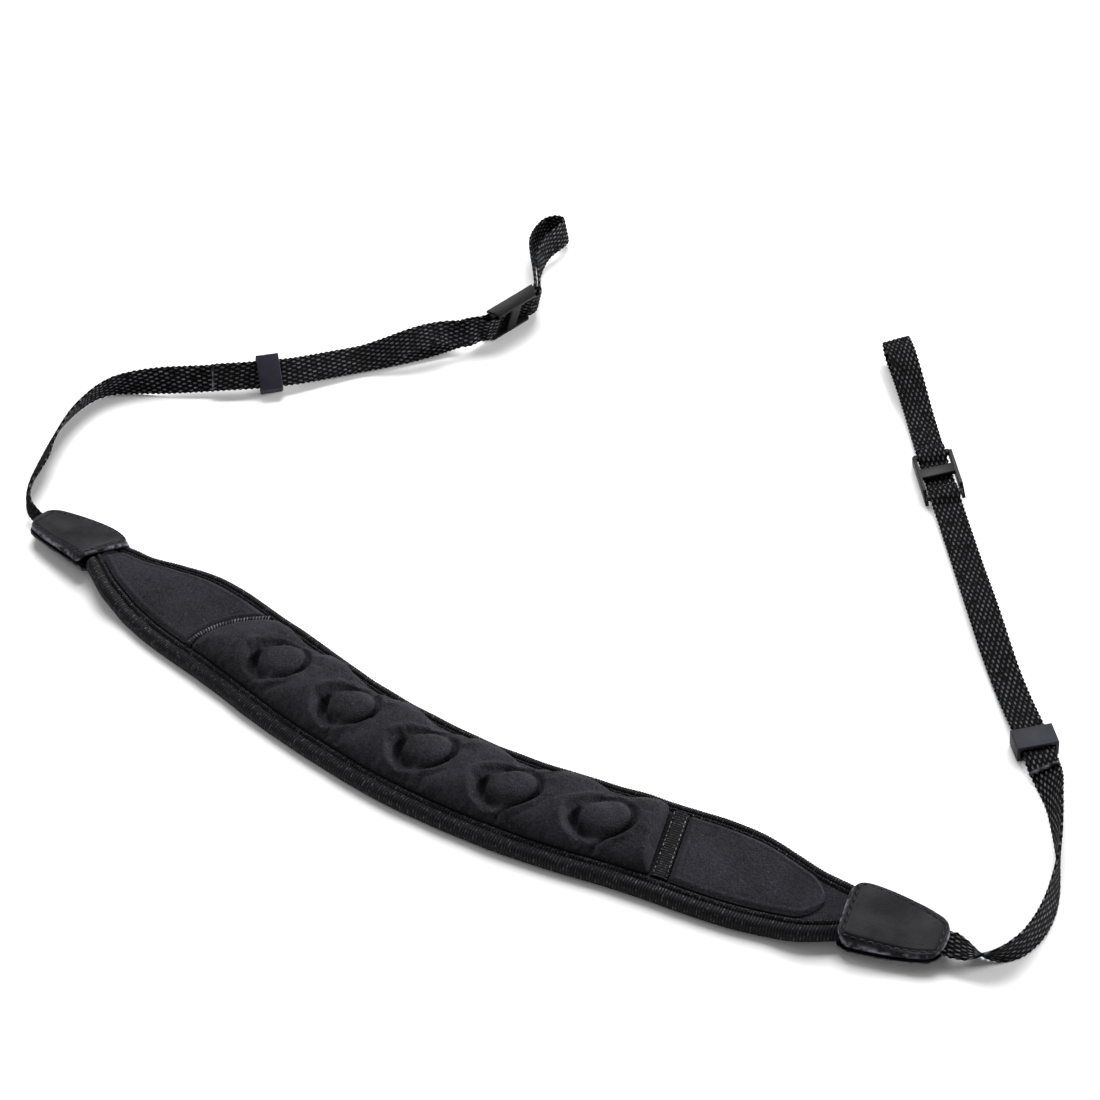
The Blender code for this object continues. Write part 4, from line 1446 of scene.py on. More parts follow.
    def height(self, grid: PanelGrid) -> Array:
        """Height of the cushion before its filling puffs it up.

        Args:
            grid: the cushion's grid.

        Returns:
            The height of each point above the floor.
        """
        along, across, side = grid.along, grid.across, grid.side
        crown = np.maximum(0.0, 1.0 - np.abs(side) ** 2.8) ** 0.5
        ramp = self.ramp[0] + (self.ramp[1] - self.ramp[0]) * smooth(-side, 0.1, 0.95)
        left = np.clip(grid.from_start / ramp, 0.0, 1.0)
        right = np.clip(grid.to_stop / self.right_ramp, 0.0, 1.0)
        ends = rounded(left, 2, 0.8) * rounded(right, 2.4)
        depth = self.wave + self.scallop * smooth(np.abs(side), 0.3, 1.0)
        wave = 1.0 - depth * np.cos(math.tau * (along - self.shift) / self.pitch)
        rise = self.swell * wave * crown * ends
        hold = np.maximum(crown, 0.35) * np.ones_like(along)
        for button in self.buttons:
            near = np.abs(along - button.along) < 24.0
            reach, turn = (values[near] for values in self.reach(grid, button))
            rise[near] -= hold[near] * self.pinch(
                reach, turn, along[near] - button.along, across[near] - button.across, button.pleat
            )
        soft = 0.16 * value_noise(along / 7.0, across / 5.0 + 40.0)
        soft = soft + 0.07 * value_noise(along / 2.6 + 9.0, across / 2.4)
        soft = soft * smooth(grid.to_stop, 1.5, 8.0)
        return self.edge + np.maximum(0.0, rise + soft * crown * ends)

    def build(self) -> Piece:
        """Shapes the cushion and puffs it up.

        Returns:
            The cushion as one closed, padded piece.
        """
        space = self.space
        grid = PanelGrid(space, self.start, self.stop, 300, 76, corners=(1.0, 1.2))
        top = space.floor + self.height(grid)
        between_buttons = 0.5 - 0.5 * np.cos(math.tau * (grid.along - self.shift) / self.pitch)
        bulge = self.overhang * between_buttons - self.tuck * (1.0 - between_buttons)
        wall = bell(np.abs(grid.side) - 0.94, 0.06) * np.where(grid.side > 0, 1.0, -0.35)
        ends = smooth(grid.from_start, 3.0, 12.0) * smooth(grid.to_stop, 1.0, 8.0)
        across = grid.across + wall * bulge * ends
        moved = None
        # Every second row and lane is enough for the simulation.
        points = space.points(grid.along, across, top)
        moved = doubled(self.filling.moves(points[::2, ::2], self.sewn(grid)[::2, ::2]))
        piece = grid.closed("cushion", top, space.floor, across, moved=moved)
        place_piece(piece, KNIT, "cushion_panel")
        return piece


@dataclass
class Wings(PadPiece):
    """The thin smooth panels between the cushion and the tabs.

    Attributes:
        left: the left one's two ends.
        right: the right one's two ends.
        rise: their thickness.
        left_corners: radius of the left one's corners, at its left and right ends.
        right_corners: the same of the right one, whose right end is round.
        slack: how far the knit wanders up and down.
    """

    left: tuple[EndLine, EndLine]
    right: tuple[EndLine, EndLine]
    rise: float = 1.5
    left_corners: tuple[float, float] = (2.0, 1.0)
    right_corners: tuple[float, float] = (1.0, 7.5)
    slack: float = 0.16

    def build(self) -> list[Piece]:
        """Lays both wings: flat and slack, pressed down along their sewn rims.

        Returns:
            The two padded pieces.
        """
        space, made = self.space, []
        for end, lines, corners in (
            (End.LEFT, self.left, self.left_corners), (End.RIGHT, self.right, self.right_corners),
        ):
            grid = PanelGrid(space, *lines, 100, 48, corners=corners, crowding=0.85)
            rim = 0.30 + 0.70 * smooth(grid.to_rim, -0.3, 1.7) - 0.12 * bell(grid.to_rim - 2.6, 0.7)
            slack = self.slack * value_noise(grid.along / 11.0, grid.across / 7.0 + 7.0)
            top = space.floor + self.rise * rim + slack * smooth(grid.to_rim, 0.5, 4.0)
            piece = grid.closed(f"wing_{end.value}", top, space.floor)
            place_piece(piece, KNIT, f"wing_panel_{end.value}")
            made.append(piece)
        return made


@dataclass
class CrossPieces(PadPiece):
    """The overcast ridge at the cushion's left end and the tape at its right end.

    Attributes:
        cushion: the cushion between them.
        seam_width: width of the ridge.
        seam_rise: its height.
        tape_width: width of the tape.
        tape_gap: width of the furrow between it and the cushion.
        tape_rise: its height.
        cover_in: distance of the cover stitches from the tape's middle.
        rib_rise: height of the tape's ribs.
        overcast: one turn of the overcast seam's thread.
        cover: one cover stitch.
    """

    cushion: Cushion
    seam_width: float = 2.2
    seam_rise: float = 1.7
    tape_width: float = 5.6
    tape_gap: float = 1.0
    tape_rise: float = 1.0
    cover_in: float = 2.1
    rib_rise: float = 0.04
    overcast: Stitch = Stitch(length=2.9, thick=0.42, arch=0.95, pitch=1.05, turn_deg=76.0)
    cover: Stitch = Stitch(length=1.35, thick=0.42, arch=0.14, pitch=1.9)

    @property
    def seam(self) -> EndLine:
        """Middle of the ridge."""
        return self.cushion.start.moved(-CLEARANCE - self.seam_width / 2)

    @property
    def tape(self) -> EndLine:
        """Middle of the tape."""
        return self.cushion.stop.moved(self.tape_gap + self.tape_width / 2)

    def ridge(
        self, name: str, line: EndLine, width: float, rise: float, power: float, groove: float
    ) -> Piece:
        """A low ridge right across the pad.

        Args:
            name: the piece's name.
            line: its middle.
            width: its width.
            rise: its height.
            power: how square its section is.
            groove: depth of the two furrows that the cover stitches lie in.

        Returns:
            The piece.
        """
        floor = self.space.floor
        grid = PanelGrid(self.space, line.moved(-width / 2), line.moved(width / 2), 32, 120)
        off = grid.from_start / width * 2.0 - 1.0
        crown = np.maximum(0.0, 1.0 - np.abs(off) ** power) ** 0.5
        height = rise * (0.30 + 0.70 * crown)
        height = height - groove * bell(np.abs(off) * width / 2 - self.cover_in, 0.32)
        ribs = self.rib_rise * np.cos(math.tau * grid.across / TAPE_RIB) * crown * (groove > 0.0)
        top = floor + height + ribs
        return grid.closed(name, top, floor, cross_grain=True)

    def threads(self, name: str, line: EndLine, height: float, stitch: Stitch) -> Piece:
        """A row of stitches across the pad.

        Args:
            name: the piece's name.
            line: the row's line.
            height: their height above the panels' floor.
            stitch: the stitch.

        Returns:
            The stitches as one piece.
        """
        side = np.linspace(-1.0, 1.0, 90)
        half = float(self.space.panel_half_width(np.array(line.middle)))
        along = line.at(side, self.space.panel_half_width)
        across = self.space.panel_middle(along) + side * (half - 0.5)
        route = self.space.points(along, across, self.space.floor + height)
        return place_piece(stitch.run(name, route), OVERCAST)

    def build(self) -> list[Piece]:
        """Lays the ridge and the tape across the pad and sews them down.

        Returns:
            The ridge, the tape and their threads.
        """
        ridge = self.ridge("overcast_ridge", self.seam, self.seam_width, self.seam_rise, 2.0, 0.0)
        tape = self.ridge("cross_tape", self.tape, self.tape_width, self.tape_rise, 6.0, 0.30)
        place_piece(ridge, KNIT, "end_seam_left")
        place_piece(tape, TAPE, "cross_tape_right")
        rows = [("overcast_threads", self.seam, self.seam_rise - 0.02, self.overcast)]
        for side, shift in (("inner", -self.cover_in), ("outer", self.cover_in)):
            name, line = f"cover_stitches_{side}", self.tape.moved(shift)
            rows.append((name, line, self.tape_rise - 0.10, self.cover))
        return [ridge, tape, *(self.threads(*row) for row in rows)]


# ---- leather tabs
@dataclass
class Tab(PadPiece):
    """Two leathers sewn over an end of the pad, with the band between them at the tip.

    Attributes:
        end: which end.
        band_thick: thickness of the band that it holds.
        margin: how far the lower leather shows past the upper one.
        rim_gap: half the space between the leathers at their rims.
        roll: width of the rim that is rolled down.
        puff: how far the leather wanders up and down.
        stitch: one of the seam's stitches.
        stitch_in: distance of the seam from the rim.
        tip_corner: radius of the corners at the band's end.
    """

    end: End
    band_thick: float = 1.25
    margin: float = 0.7
    rim_gap: float = 0.35
    roll: float = 3.2
    puff: float = 0.20
    stitch: Stitch = Stitch(length=2.1, thick=0.50, arch=0.22, pitch=2.6)
    stitch_in: float = 1.9
    tip_corner: float = 4.0

    @property
    def row(self) -> EndRow:
        """How this end lies."""
        return ENDS[self.end]

    def share(self, along: Array) -> Array:
        """Share of the way from the tab's wide end to its tip."""
        return (np.abs(along) - self.row.tab_start) / (self.row.tab_tip - self.row.tab_start)

    def middle(self, along: Array) -> Array:
        """Distance across the pad to the tab's middle."""
        return self.row.near_trim / 2 * (1.0 - np.clip(self.share(along), 0.0, 1.0))

    def half_width(self, along: Array, margin: float = 0.0) -> Array:
        """Half the tab's width."""
        return TAB_WIDTH.at(self.share(along)) - self.middle(along) + margin

    def half_gap(self, along: Array, across: Array) -> Array:
        """Half the space between the leathers: over the pad's end, the band and the rim.

        Args:
            along: places along the pad.
            across: places across it.

        Returns:
            Half the space at each place.
        """
        over_pad = self.space.edge_height / 2 + CLEARANCE
        over_band = self.band_thick / 2 + CLEARANCE
        on_pad = 1.0 - smooth(np.abs(along), self.space.end, self.row.tab_tip - 8.0)
        full = over_band + (over_pad - over_band) * on_pad
        to_side = self.half_width(along) - np.abs(across - self.middle(along))
        rolled = rounded(np.clip(to_side / self.roll, 0.0, 1.0), 2.5, 1.0)
        return self.rim_gap + (full - self.rim_gap) * rolled

    def leather(self, upper: bool) -> Piece:
        """One of the two leathers, with a rounded, creased rim that the finish paints lighter in
        spots, for wear and as a painted highlight.

        Args:
            upper: whether it is the one on top.

        Returns:
            The piece.
        """
        row, space = self.row, self.space
        margin = 0.0 if upper else self.margin
        ends = [
            EndLine(row.side * row.tab_start, -row.side * row.slant),
            EndLine(row.side * row.tab_tip),
        ]
        grid = PanelGrid(
            space, *ends[::row.side], 110, 64, (row.corner, self.tip_corner)[::row.side], 0.85,
            self.middle, lambda along: self.half_width(along, margin),
        )
        to_rim = grid.to_rim
        gap = self.half_gap(grid.along, grid.across)
        puff = self.puff * value_noise(grid.along / 8.0, grid.across / 6.0 + 3.0)
        puff = puff * smooth(to_rim, 1, 4)
        crease = 0.30 * bell(to_rim - self.stitch_in, 0.45)
        thick = LEATHER * (0.55 + 0.45 * smooth(to_rim, -0.2, 0.55)) - crease + puff
        away = 1.0 if upper else -1.0
        inside = space.edge_height / 2 + away * gap
        name = f"leather_{'upper' if upper else 'lower'}_{self.end.value}"
        node = f"tab_{'top' if upper else 'bottom'}_{self.end.value}"
        # Marks the rim, where the finish paints lighter spots: partly wear, partly painted
        # highlight.
        rim_wear_and_highlight = {"rim": bell(to_rim, 0.5)}
        piece = grid.closed(name, inside + away * thick, inside, values=rim_wear_and_highlight)
        place_piece(piece, HIDE, node)
        half = self.half_width(row.side * np.linspace(row.tab_start, row.tab_tip, 60), margin)
        return piece

    def seam(self) -> Piece:
        """Sews round the upper leather, a little inside its rim.

        Returns:
            The stitches as one piece.
        """
        row, inset = self.row, self.stitch_in
        reach = np.linspace(row.tab_start + inset, row.tab_tip - inset, 70)
        side = np.maximum(self.half_width(row.side * reach) - inset, 0.0)
        lean = np.linspace(side[0], -side[0], 24)[1:-1]
        wide_end = np.stack((np.full_like(lean, row.tab_start + inset), lean), axis=1)
        near, far = np.stack((reach, -side), axis=1), np.stack((reach, side), axis=1)
        loop = np.concatenate((near, far[::-1], wide_end))
        blend = 1.0 - smooth(loop[:, 0], row.tab_start + inset, row.tab_tip - inset)
        along = row.side * (loop[:, 0] - row.slant * loop[:, 1] * blend)
        across = loop[:, 1] + self.middle(along)
        height = self.space.edge_height / 2 + self.half_gap(along, across) + LEATHER - 0.10
        line = self.space.points(along, across, height)
        return place_piece(self.stitch.run(f"tab_stitches_{self.end.value}", line), BLACK_THREAD)

    def build(self) -> list[Piece]:
        """Both leathers and their seam."""
        return [self.leather(True), self.leather(False), self.seam()]


# ---- woven bands
@dataclass(frozen=True)
class BandRow:
    """What is particular to one band, by distance from its loop's end.

    Attributes:
        route: X and Y before the lay-out's shift, lean from lying flat in degrees, and lift
            above resting on the floor, from the tab to the loop.
        layers: how far apart the two layers lie.
        swell: middle, reach and rise of the place where the upper layer arches up.
        buckle: place of the slide buckle.
        keeper: place of the keeper.
        tail: length of the free end past the keeper.
        leaving: places past the tab's tip and further lean there, as it leaves the tab.
        gather: share of its width that shows where it is bunched up, by distance past
            the tab's tip.
    """

    route: tuple[tuple[float, float, float, float], ...]
    layers: Curve
    swell: tuple[float, float, float]
    buckle: float
    keeper: float
    tail: float
    leaving: tuple[tuple[float, float], ...]
    gather: Curve


BANDS: dict[End, BandRow] = {
    End.RIGHT: BandRow(
        route=(
            (126.0, -184.3, -29, 1.2), (129.0, -185.3, -54, 0.2), (132.1, -185.4, -69, 0.0),
            (136.4, -184.4, -87, 0.0), (141.8, -181.0, -101, 0.0), (147.5, -174.3, -110, 0.0),
            (151.9, -166.3, -111, 0.0), (154.7, -158.6, -107, 0.0), (156.9, -149.8, -98, 0.0),
            (158.3, -141.1, -88, 0.0), (159.3, -131.0, -78, 0.0), (159.8, -122.5, -66, 0.0),
            (159.6, -114.5, -42, 0.3), (158.6, -106.4, -14, 1.8), (157.4, -97.9, -6, 2.2),
            (156.2, -89.9, -5, 1.9), (154.0, -73.7, -5, 0.3), (151.5, -54.0, -6, 0.2),
            (148.8, -26.3, -8, 0.2), (145.7, 5.5, -10, 0.3), (144.0, 21.0, -11, 0.7),
            (142.4, 36.2, -12, 1.1), (141.1, 52.7, -12, 0.9), (140.0, 69.3, -12, 0.4),
            (138.7, 85.3, -12, 0.3), (137.0, 101.1, -12, 0.5), (135.4, 111.5, -12, 0.9),
        ),
        layers=Curve((
            (4.9, 9.8), (11.0, 10.6), (18.0, 9.4), (27.0, 6.0), (36.0, 3.2), (46.0, 1.5),
        )),
        swell=(150.0, 30.0, 1.6), buckle=75.7, keeper=210.6, tail=13.0,
        leaving=((-12.0, 0.0), (-1.0, 0.0), (2.6, 0.0)),
        gather=Curve(((-12.0, 1.0), (0.0, 0.85), (14.0, 1.0))),
    ),
    End.LEFT: BandRow(
        route=(
            (-187.0, 16.6, 112, 0.2), (-188.7, 22.3, 103, 0.0), (-189.0, 29.2, 114, 0.0),
            (-188.2, 36.5, 125, 0.0), (-187.0, 43.8, 128, 0.0), (-186.2, 50.1, 123, 0.0),
            (-185.1, 56.2, 121, 0.0), (-183.3, 64.1, 120, 0.0), (-180.8, 71.2, 118, 0.0),
            (-177.0, 78.4, 116, 0.0), (-172.7, 84.0, 112, 0.0), (-167.2, 87.8, 103, 0.0),
            (-160.6, 89.6, 88, 0.1), (-153.0, 90.5, 71, 0.4), (-145.4, 91.1, 56, 0.9),
            (-137.9, 91.5, 46, 1.5), (-130.2, 91.8, 42, 2.0), (-115.7, 92.7, 40, 2.5),
            (-108.0, 94.0, 39, 2.4), (-100.2, 96.0, 37, 1.9), (-92.7, 98.9, 35, 1.3),
            (-77.6, 105.0, 30, 0.5), (-62.3, 110.4, 25, 0.3), (-54.7, 113.3, 22, 0.3),
            (-47.8, 116.1, 22, 0.5), (-41.2, 118.5, 28, 1.0), (-36.3, 118.9, 46, 1.9),
            (-31.1, 119.8, 76, 2.8), (-26.1, 122.5, 101, 3.2), (-21.6, 126.9, 106, 3.2),
            (-17.0, 131.6, 106, 3.2), (-12.4, 136.3, 106, 3.2), (-8.0, 140.9, 103, 3.1),
            (-6.0, 148.6, 93, 1.8), (-6.2, 159.2, 85, 0.8), (-7.0, 169.4, 80, 0.4),
            (-7.0, 178.5, 77, 0.4), (-5.3, 185.2, 77, 0.4), (-2.5, 190.8, 77, 0.4),
            (0.8, 195.1, 77, 0.4),
        ),
        layers=Curve((
            (4.9, 9.8), (10.0, 9.6), (17.0, 7.2), (25.0, 4.0), (34.0, 1.5),
        )),
        swell=(108.0, 27.0, 6.4), buckle=69.3, keeper=169.3, tail=21.8,
        leaving=((-12.0, 0.0), (-2.5, -12.0), (1.0, -42.0)),
        gather=Curve((
            (-12.0, 1.0), (-4.0, 0.55), (0.0, 0.42), (6.0, 0.5), (14.0, 0.8), (24.0, 1.0),
        )),
    ),
}


@dataclass(frozen=True)
class SlideSizes:
    """Sizes of the slide buckle, which the band makes room for.

    Attributes:
        long: its length along the band.
        wide: its width.
        rail_wide: width of a rail.
        rail_tall: height of a rail.
        rail_top: height of the rails' tops above the middle of the lower layer.
        rail_taper: how much shorter a rail is at its top, at each end.
        end_bar_long: length along the band of an end bar.
        middle_bar_long: the same of the middle bar.
        bar_thick: thickness of the bars.
    """

    long: float = 25.0
    wide: float = 14.8
    rail_wide: float = 1.3
    rail_tall: float = 5.2
    rail_top: float = 4.4
    rail_taper: float = 3.0
    end_bar_long: float = 2.6
    middle_bar_long: float = 5.2
    bar_thick: float = 1.7


SLIDE = SlideSizes()


@dataclass
class Band(PadPiece):
    """One folded woven band: out along the floor, round the lug loop and back above itself.

    Attributes:
        end: which end it leaves.
        width: its width.
        thick: its thickness.
        loop_radius: radius of the fold round a lug, at the band's middle.
        start: where it begins inside its tab.
        step: distance between rings.
        relief: how far a float rises above the weave's middle.
        selvedge: distance between the teeth of its edges.
        tooth: how far a tooth stands out.
        lanes: points across each face.
        tangent_reach: how far ahead and behind its direction is measured.
        line: X, Y, height and lean of its lower layer.
        gone: distance gone at each of these, from inside the tab.
    """

    end: End
    width: float = 10.4
    thick: float = 1.25
    loop_radius: float = 4.9
    start: float = 160.0
    step: float = 0.36
    relief: float = 0.24
    selvedge: float = 2.1
    tooth: float = 0.20
    lanes: int = 27
    tangent_reach: float = 2.6
    line: Array = field(init=False)
    gone: Array = field(init=False)

    def __post_init__(self) -> None:
        """Draws a smooth line through the route's rows."""
        tip = ENDS[self.end].tab_tip
        rows = [self.row_in_tab(self.start)]
        rows += [self.row_in_tab(tip + past, turned) for past, turned in self.row.leaving]
        for x, y, lean, lift in self.row.route:
            turn = math.radians(lean)
            rest = self.width / 2 * abs(math.sin(turn)) + self.thick / 2 * abs(math.cos(turn))
            rows.append((x + LAYOUT_SHIFT[0], y + LAYOUT_SHIFT[1], rest + lift, lean))
        rows = np.array(rows)
        padded = np.concatenate((rows[:1], rows, rows[-1:]))
        share = np.linspace(0.0, 1.0, 24, endpoint=False)[:, None]
        fine = []
        for p, q, r, s in zip(padded, padded[1:], padded[2:], padded[3:]):
            fine.append(0.5 * (
                2 * q + (r - p) * share + (2 * p - 5 * q + 4 * r - s) * share**2
                + (3 * q - p - 3 * r + s) * share**3
            ))
        self.line = np.concatenate(fine + [rows[-1:]])
        self.gone = run_total(np.hypot(*np.diff(self.line[:, :2], axis=0).T))

    @property
    def row(self) -> BandRow:
        """What is particular to this band."""
        return BANDS[self.end]

    @property
    def length(self) -> float:
        """Length of the lower layer."""
        return float(self.gone[-1])

    @property
    def layer_pitch(self) -> float:
        """Distance between the middles of two layers that lie on each other."""
        return self.thick + CLEARANCE

    def row_in_tab(self, along: float, turned: float = 0.0) -> tuple[float, float, float, float]:
        """The band between the leathers, where the left one lies upside down.

        Args:
            along: distance along the pad from its middle.
            turned: further lean, in degrees.

        Returns:
            X, Y, height and lean in degrees.
        """
        side = ENDS[self.end].side
        place = self.space.points(np.array(side * along), 0.0, self.space.edge_height / 2)
        roll = math.degrees(float(self.space.roll_at(np.array(side * along))))
        return (*place, (roll if side > 0 else 180.0 - roll) + turned)

    def frames(self, distance: Array) -> tuple[Array, Array, Array, Array]:
        """How the lower layer lies.

        Args:
            distance: distances along it from its end inside the tab.

        Returns:
            Its places, and unit vectors ahead, across its width and out of its upper face.
        """
        place = read_rows(self.line, self.gone, distance)
        behind, before = (
            read_rows(self.line[:, :2], self.gone, distance + step)
            for step in (-self.tangent_reach, self.tangent_reach)
        )
        level = np.zeros(len(place))
        ahead = unit(np.column_stack((before - behind, level)))
        left = np.column_stack((-ahead[:, 1], ahead[:, 0], level))
        turn = np.radians(place[:, 3:4])
        width = left * np.cos(turn) + UP * np.sin(turn)
        normal = -left * np.sin(turn) + UP * np.cos(turn)
        return place[:, :3], ahead, width, normal

    def layer_gap(self, from_end: Array) -> Array:
        """Distance between the two layers, which part in the loop, at the swell and the bars.

        Args:
            from_end: distances from the loop's end.

        Returns:
            The distance between the layers' middles.
        """
        gap = np.maximum(self.layer_pitch, self.row.layers.at(from_end))
        middle, reach, rise = self.row.swell
        off = np.minimum(1.0, np.abs(from_end - middle) / reach)
        gap = gap + rise * (1.0 - off * off) ** 2
        bar = (SLIDE.long - SLIDE.end_bar_long) / 2
        from_bar = np.abs(from_end - self.row.buckle) - bar
        over = SLIDE.bar_thick + 1.6 * CLEARANCE
        return gap + over * np.exp(-((from_bar / 4.0) ** 4))

    def middle_line(self) -> tuple[Array, Array, Array]:
        """Middle of the whole folded band: out, round the lug loop, and back above itself.

        Returns:
            Its points, and unit vectors across its width and out of its outer face.
        """
        flat_length = self.length - self.loop_radius
        place, _, width, normal = self.frames(np.arange(0.0, flat_length, self.step))
        start, ahead, loop_width, loop_normal = self.frames(np.array([flat_length]))
        turn = np.arange(0.0, math.pi, self.step / self.loop_radius)[:, None]
        out = ahead * np.sin(turn) - loop_normal * np.cos(turn)
        loop = start + loop_normal * self.loop_radius + out * self.loop_radius
        from_end = np.arange(self.loop_radius, self.row.keeper + self.row.tail, self.step)
        back, _, back_width, back_normal = self.frames(self.length - from_end)
        back = back + back_normal * self.layer_gap(from_end)[:, None]
        return (
            np.concatenate((place, loop, back)),
            np.concatenate((width, np.broadcast_to(loop_width, loop.shape), back_width)),
            np.concatenate((normal, -out, -back_normal)),
        )

    def build(self) -> Piece:
        """Weaves the band, with its floats in relief and its edges toothed.

        Returns:
            The band as one closed strip.
        """
        place, width, normal = self.middle_line()
        ahead = unit(np.gradient(place, axis=0))
        true_normal = unit(np.cross(ahead, width))
        true_normal *= np.sign((true_normal * normal).sum(axis=1, keepdims=True))
        along = run_total(np.linalg.norm(np.diff(place, axis=0), axis=1))[:, None]
        side = np.linspace(-1.0, 1.0, self.lanes)
        across = side * (self.width / 2 - self.tooth)
        serrated = self.tooth * np.cos(math.tau * along / self.selvedge)
        spread = across * (1.0 + serrated / (self.width / 2) * np.abs(side) ** 6)
        skewed = math.tau * (along + WEAVE_SKEW * across) / PICK
        lift = np.cos(skewed) * np.cos(math.tau * across / COLUMN)
        lift = lift * (1.0 - 0.7 * smooth(np.abs(side), 0.84, 1.0))
        gather = self.row.gather.at(along + self.start - ENDS[self.end].tab_tip)
        skins, rims = [], []
        for face in (1.0, -1.0):
            out = face * (self.thick / 2 - self.relief) + self.relief * lift
            skin = place[:, None] + width[:, None] * (spread * gather)[..., None]
            skins.append((skin + true_normal[:, None] * out[..., None])[:, ::int(face)])
            edge = (self.width / 2 - 0.02 + serrated) * gather * face
            rims.append((place + width * edge)[:, None])
        rings = np.concatenate((skins[0], rims[0], skins[1], rims[1]), axis=1)
        rim = np.array([self.width / 2])
        around = np.concatenate((across, rim, across[::-1], -rim))
        melt = np.broadcast_to(smooth(along - along[-1], -1.0, -0.35), rings.shape[:2])
        piece = loft(f"band_{self.end.value}", rings, along, around, {"melt": melt})
        place_piece(piece, WEAVE, f"webbing_{self.end.value}")
        return piece

    def placement(self, from_end: float, rise: float) -> Matrix:
        """Where hardware lies that is centred over the band and turned along it.

        Args:
            from_end: its distance from the loop's end.
            rise: its height above the middle of the lower layer.

        Returns:
            Its matrix, in millimetres.
        """
        place, ahead, width, normal = (
            Vector(row[0]) for row in self.frames(np.array([self.length - from_end]))
        )
        turn = Matrix((width, ahead, normal)).transposed()
        if turn.determinant() < 0:
            turn = Matrix((-width, ahead, normal)).transposed()
        return Matrix.Translation(place + normal * rise) @ turn.to_4x4()


# ---- hardware
def add_block(size: tuple[float, float, float], centre: tuple[float, float, float]) -> Piece:
    """Adds a block, with its millimetres taken as metres until it is settled.

    Args:
        size: its size.
        centre: its middle.

    Returns:
        The block.
    """
    deselect_all()
    bpy.ops.mesh.primitive_cube_add(size=1.0, location=centre)
    block = bpy.context.active_object
    block.scale = size
    bpy.ops.object.transform_apply(location=True, rotation=True, scale=True)
    return block


def select_faces(block: Piece, chosen: Callable[[Vector], bool]) -> None:
    """Enters edit mode with some of a block's faces selected.

    Args:
        block: the block.
        chosen: tells from a face's normal whether it is selected.
    """
    bpy.ops.object.mode_set(mode="EDIT")
    bpy.ops.mesh.select_mode(type="FACE")
    bpy.ops.mesh.select_all(action="DESELECT")
    bpy.ops.object.mode_set(mode="OBJECT")
    for polygon in block.data.polygons:
        polygon.select = bool(chosen(polygon.normal))
    bpy.ops.object.mode_set(mode="EDIT")


def soften(block: Piece, width: float, segments: int, angle_deg: float = 30.0) -> None:
    """Rounds the sharp edges of a block with an applied bevel.

    Args:
        block: the block.
        width: width of the rounding.
        segments: its facets.
        angle_deg: edges sharper than this are rounded.
    """
    bevel = block.modifiers.new("soft_edges", "BEVEL")
    bevel.width = width
    bevel.segments = segments
    bevel.limit_method = "ANGLE"
    bevel.angle_limit = math.radians(angle_deg)
    bpy.context.view_layer.objects.active = block
    bpy.ops.object.modifier_apply(modifier=bevel.name)


def settle(block: Piece, name: str, placement: Matrix) -> Piece:
    """Names a piece modelled in millimetres and puts its place into its mesh.

    Args:
        block: the modelled piece.
        name: its name.
        placement: where it lies, in millimetres.

    Returns:
        The same piece, at its real size.
    """
    block.name = name
    block.data.name = name
    block.data.transform(Matrix.Scale(MM, 4) @ placement)
    deselect_all()
    block.select_set(True)
    bpy.context.view_layer.objects.active = block
    bpy.ops.object.shade_smooth_by_angle(angle=math.radians(35))
    return block


@dataclass
class Keeper:
    """A square moulded ring that both layers of the band pass through.

    Attributes:
        band: the band.
        long: its length along the band.
        wide: its width.
        tall: its height.
        wall: thickness of its walls.
        edge: radius of its edges.
    """

    band: Band
    long: float = 8.7
    wide: float = 14.0
    tall: float = 6.2
    wall: float = 1.2
    edge: float = 0.38

    def build(self) -> Piece:
        """Models the ring: a block, hollowed through its two ends and softened.

        Returns:
            The ring as one piece.
        """
        ring = add_block((self.wide, self.long, self.tall), (0.0, 0.0, 0.0))
        select_faces(ring, lambda normal: abs(normal.y) > 0.9)
        bpy.ops.mesh.inset(thickness=self.wall)
        bpy.ops.mesh.bridge_edge_loops()
        bpy.ops.object.mode_set(mode="OBJECT")
        soften(ring, self.edge, 3)
        placement = self.band.placement(self.band.row.keeper, self.band.layer_pitch / 2)
        name = self.band.end.value
        settle(ring, f"keeper_ring_{name}", placement)
        return place_piece(ring, GREY_ACETAL, f"keeper_{name}")


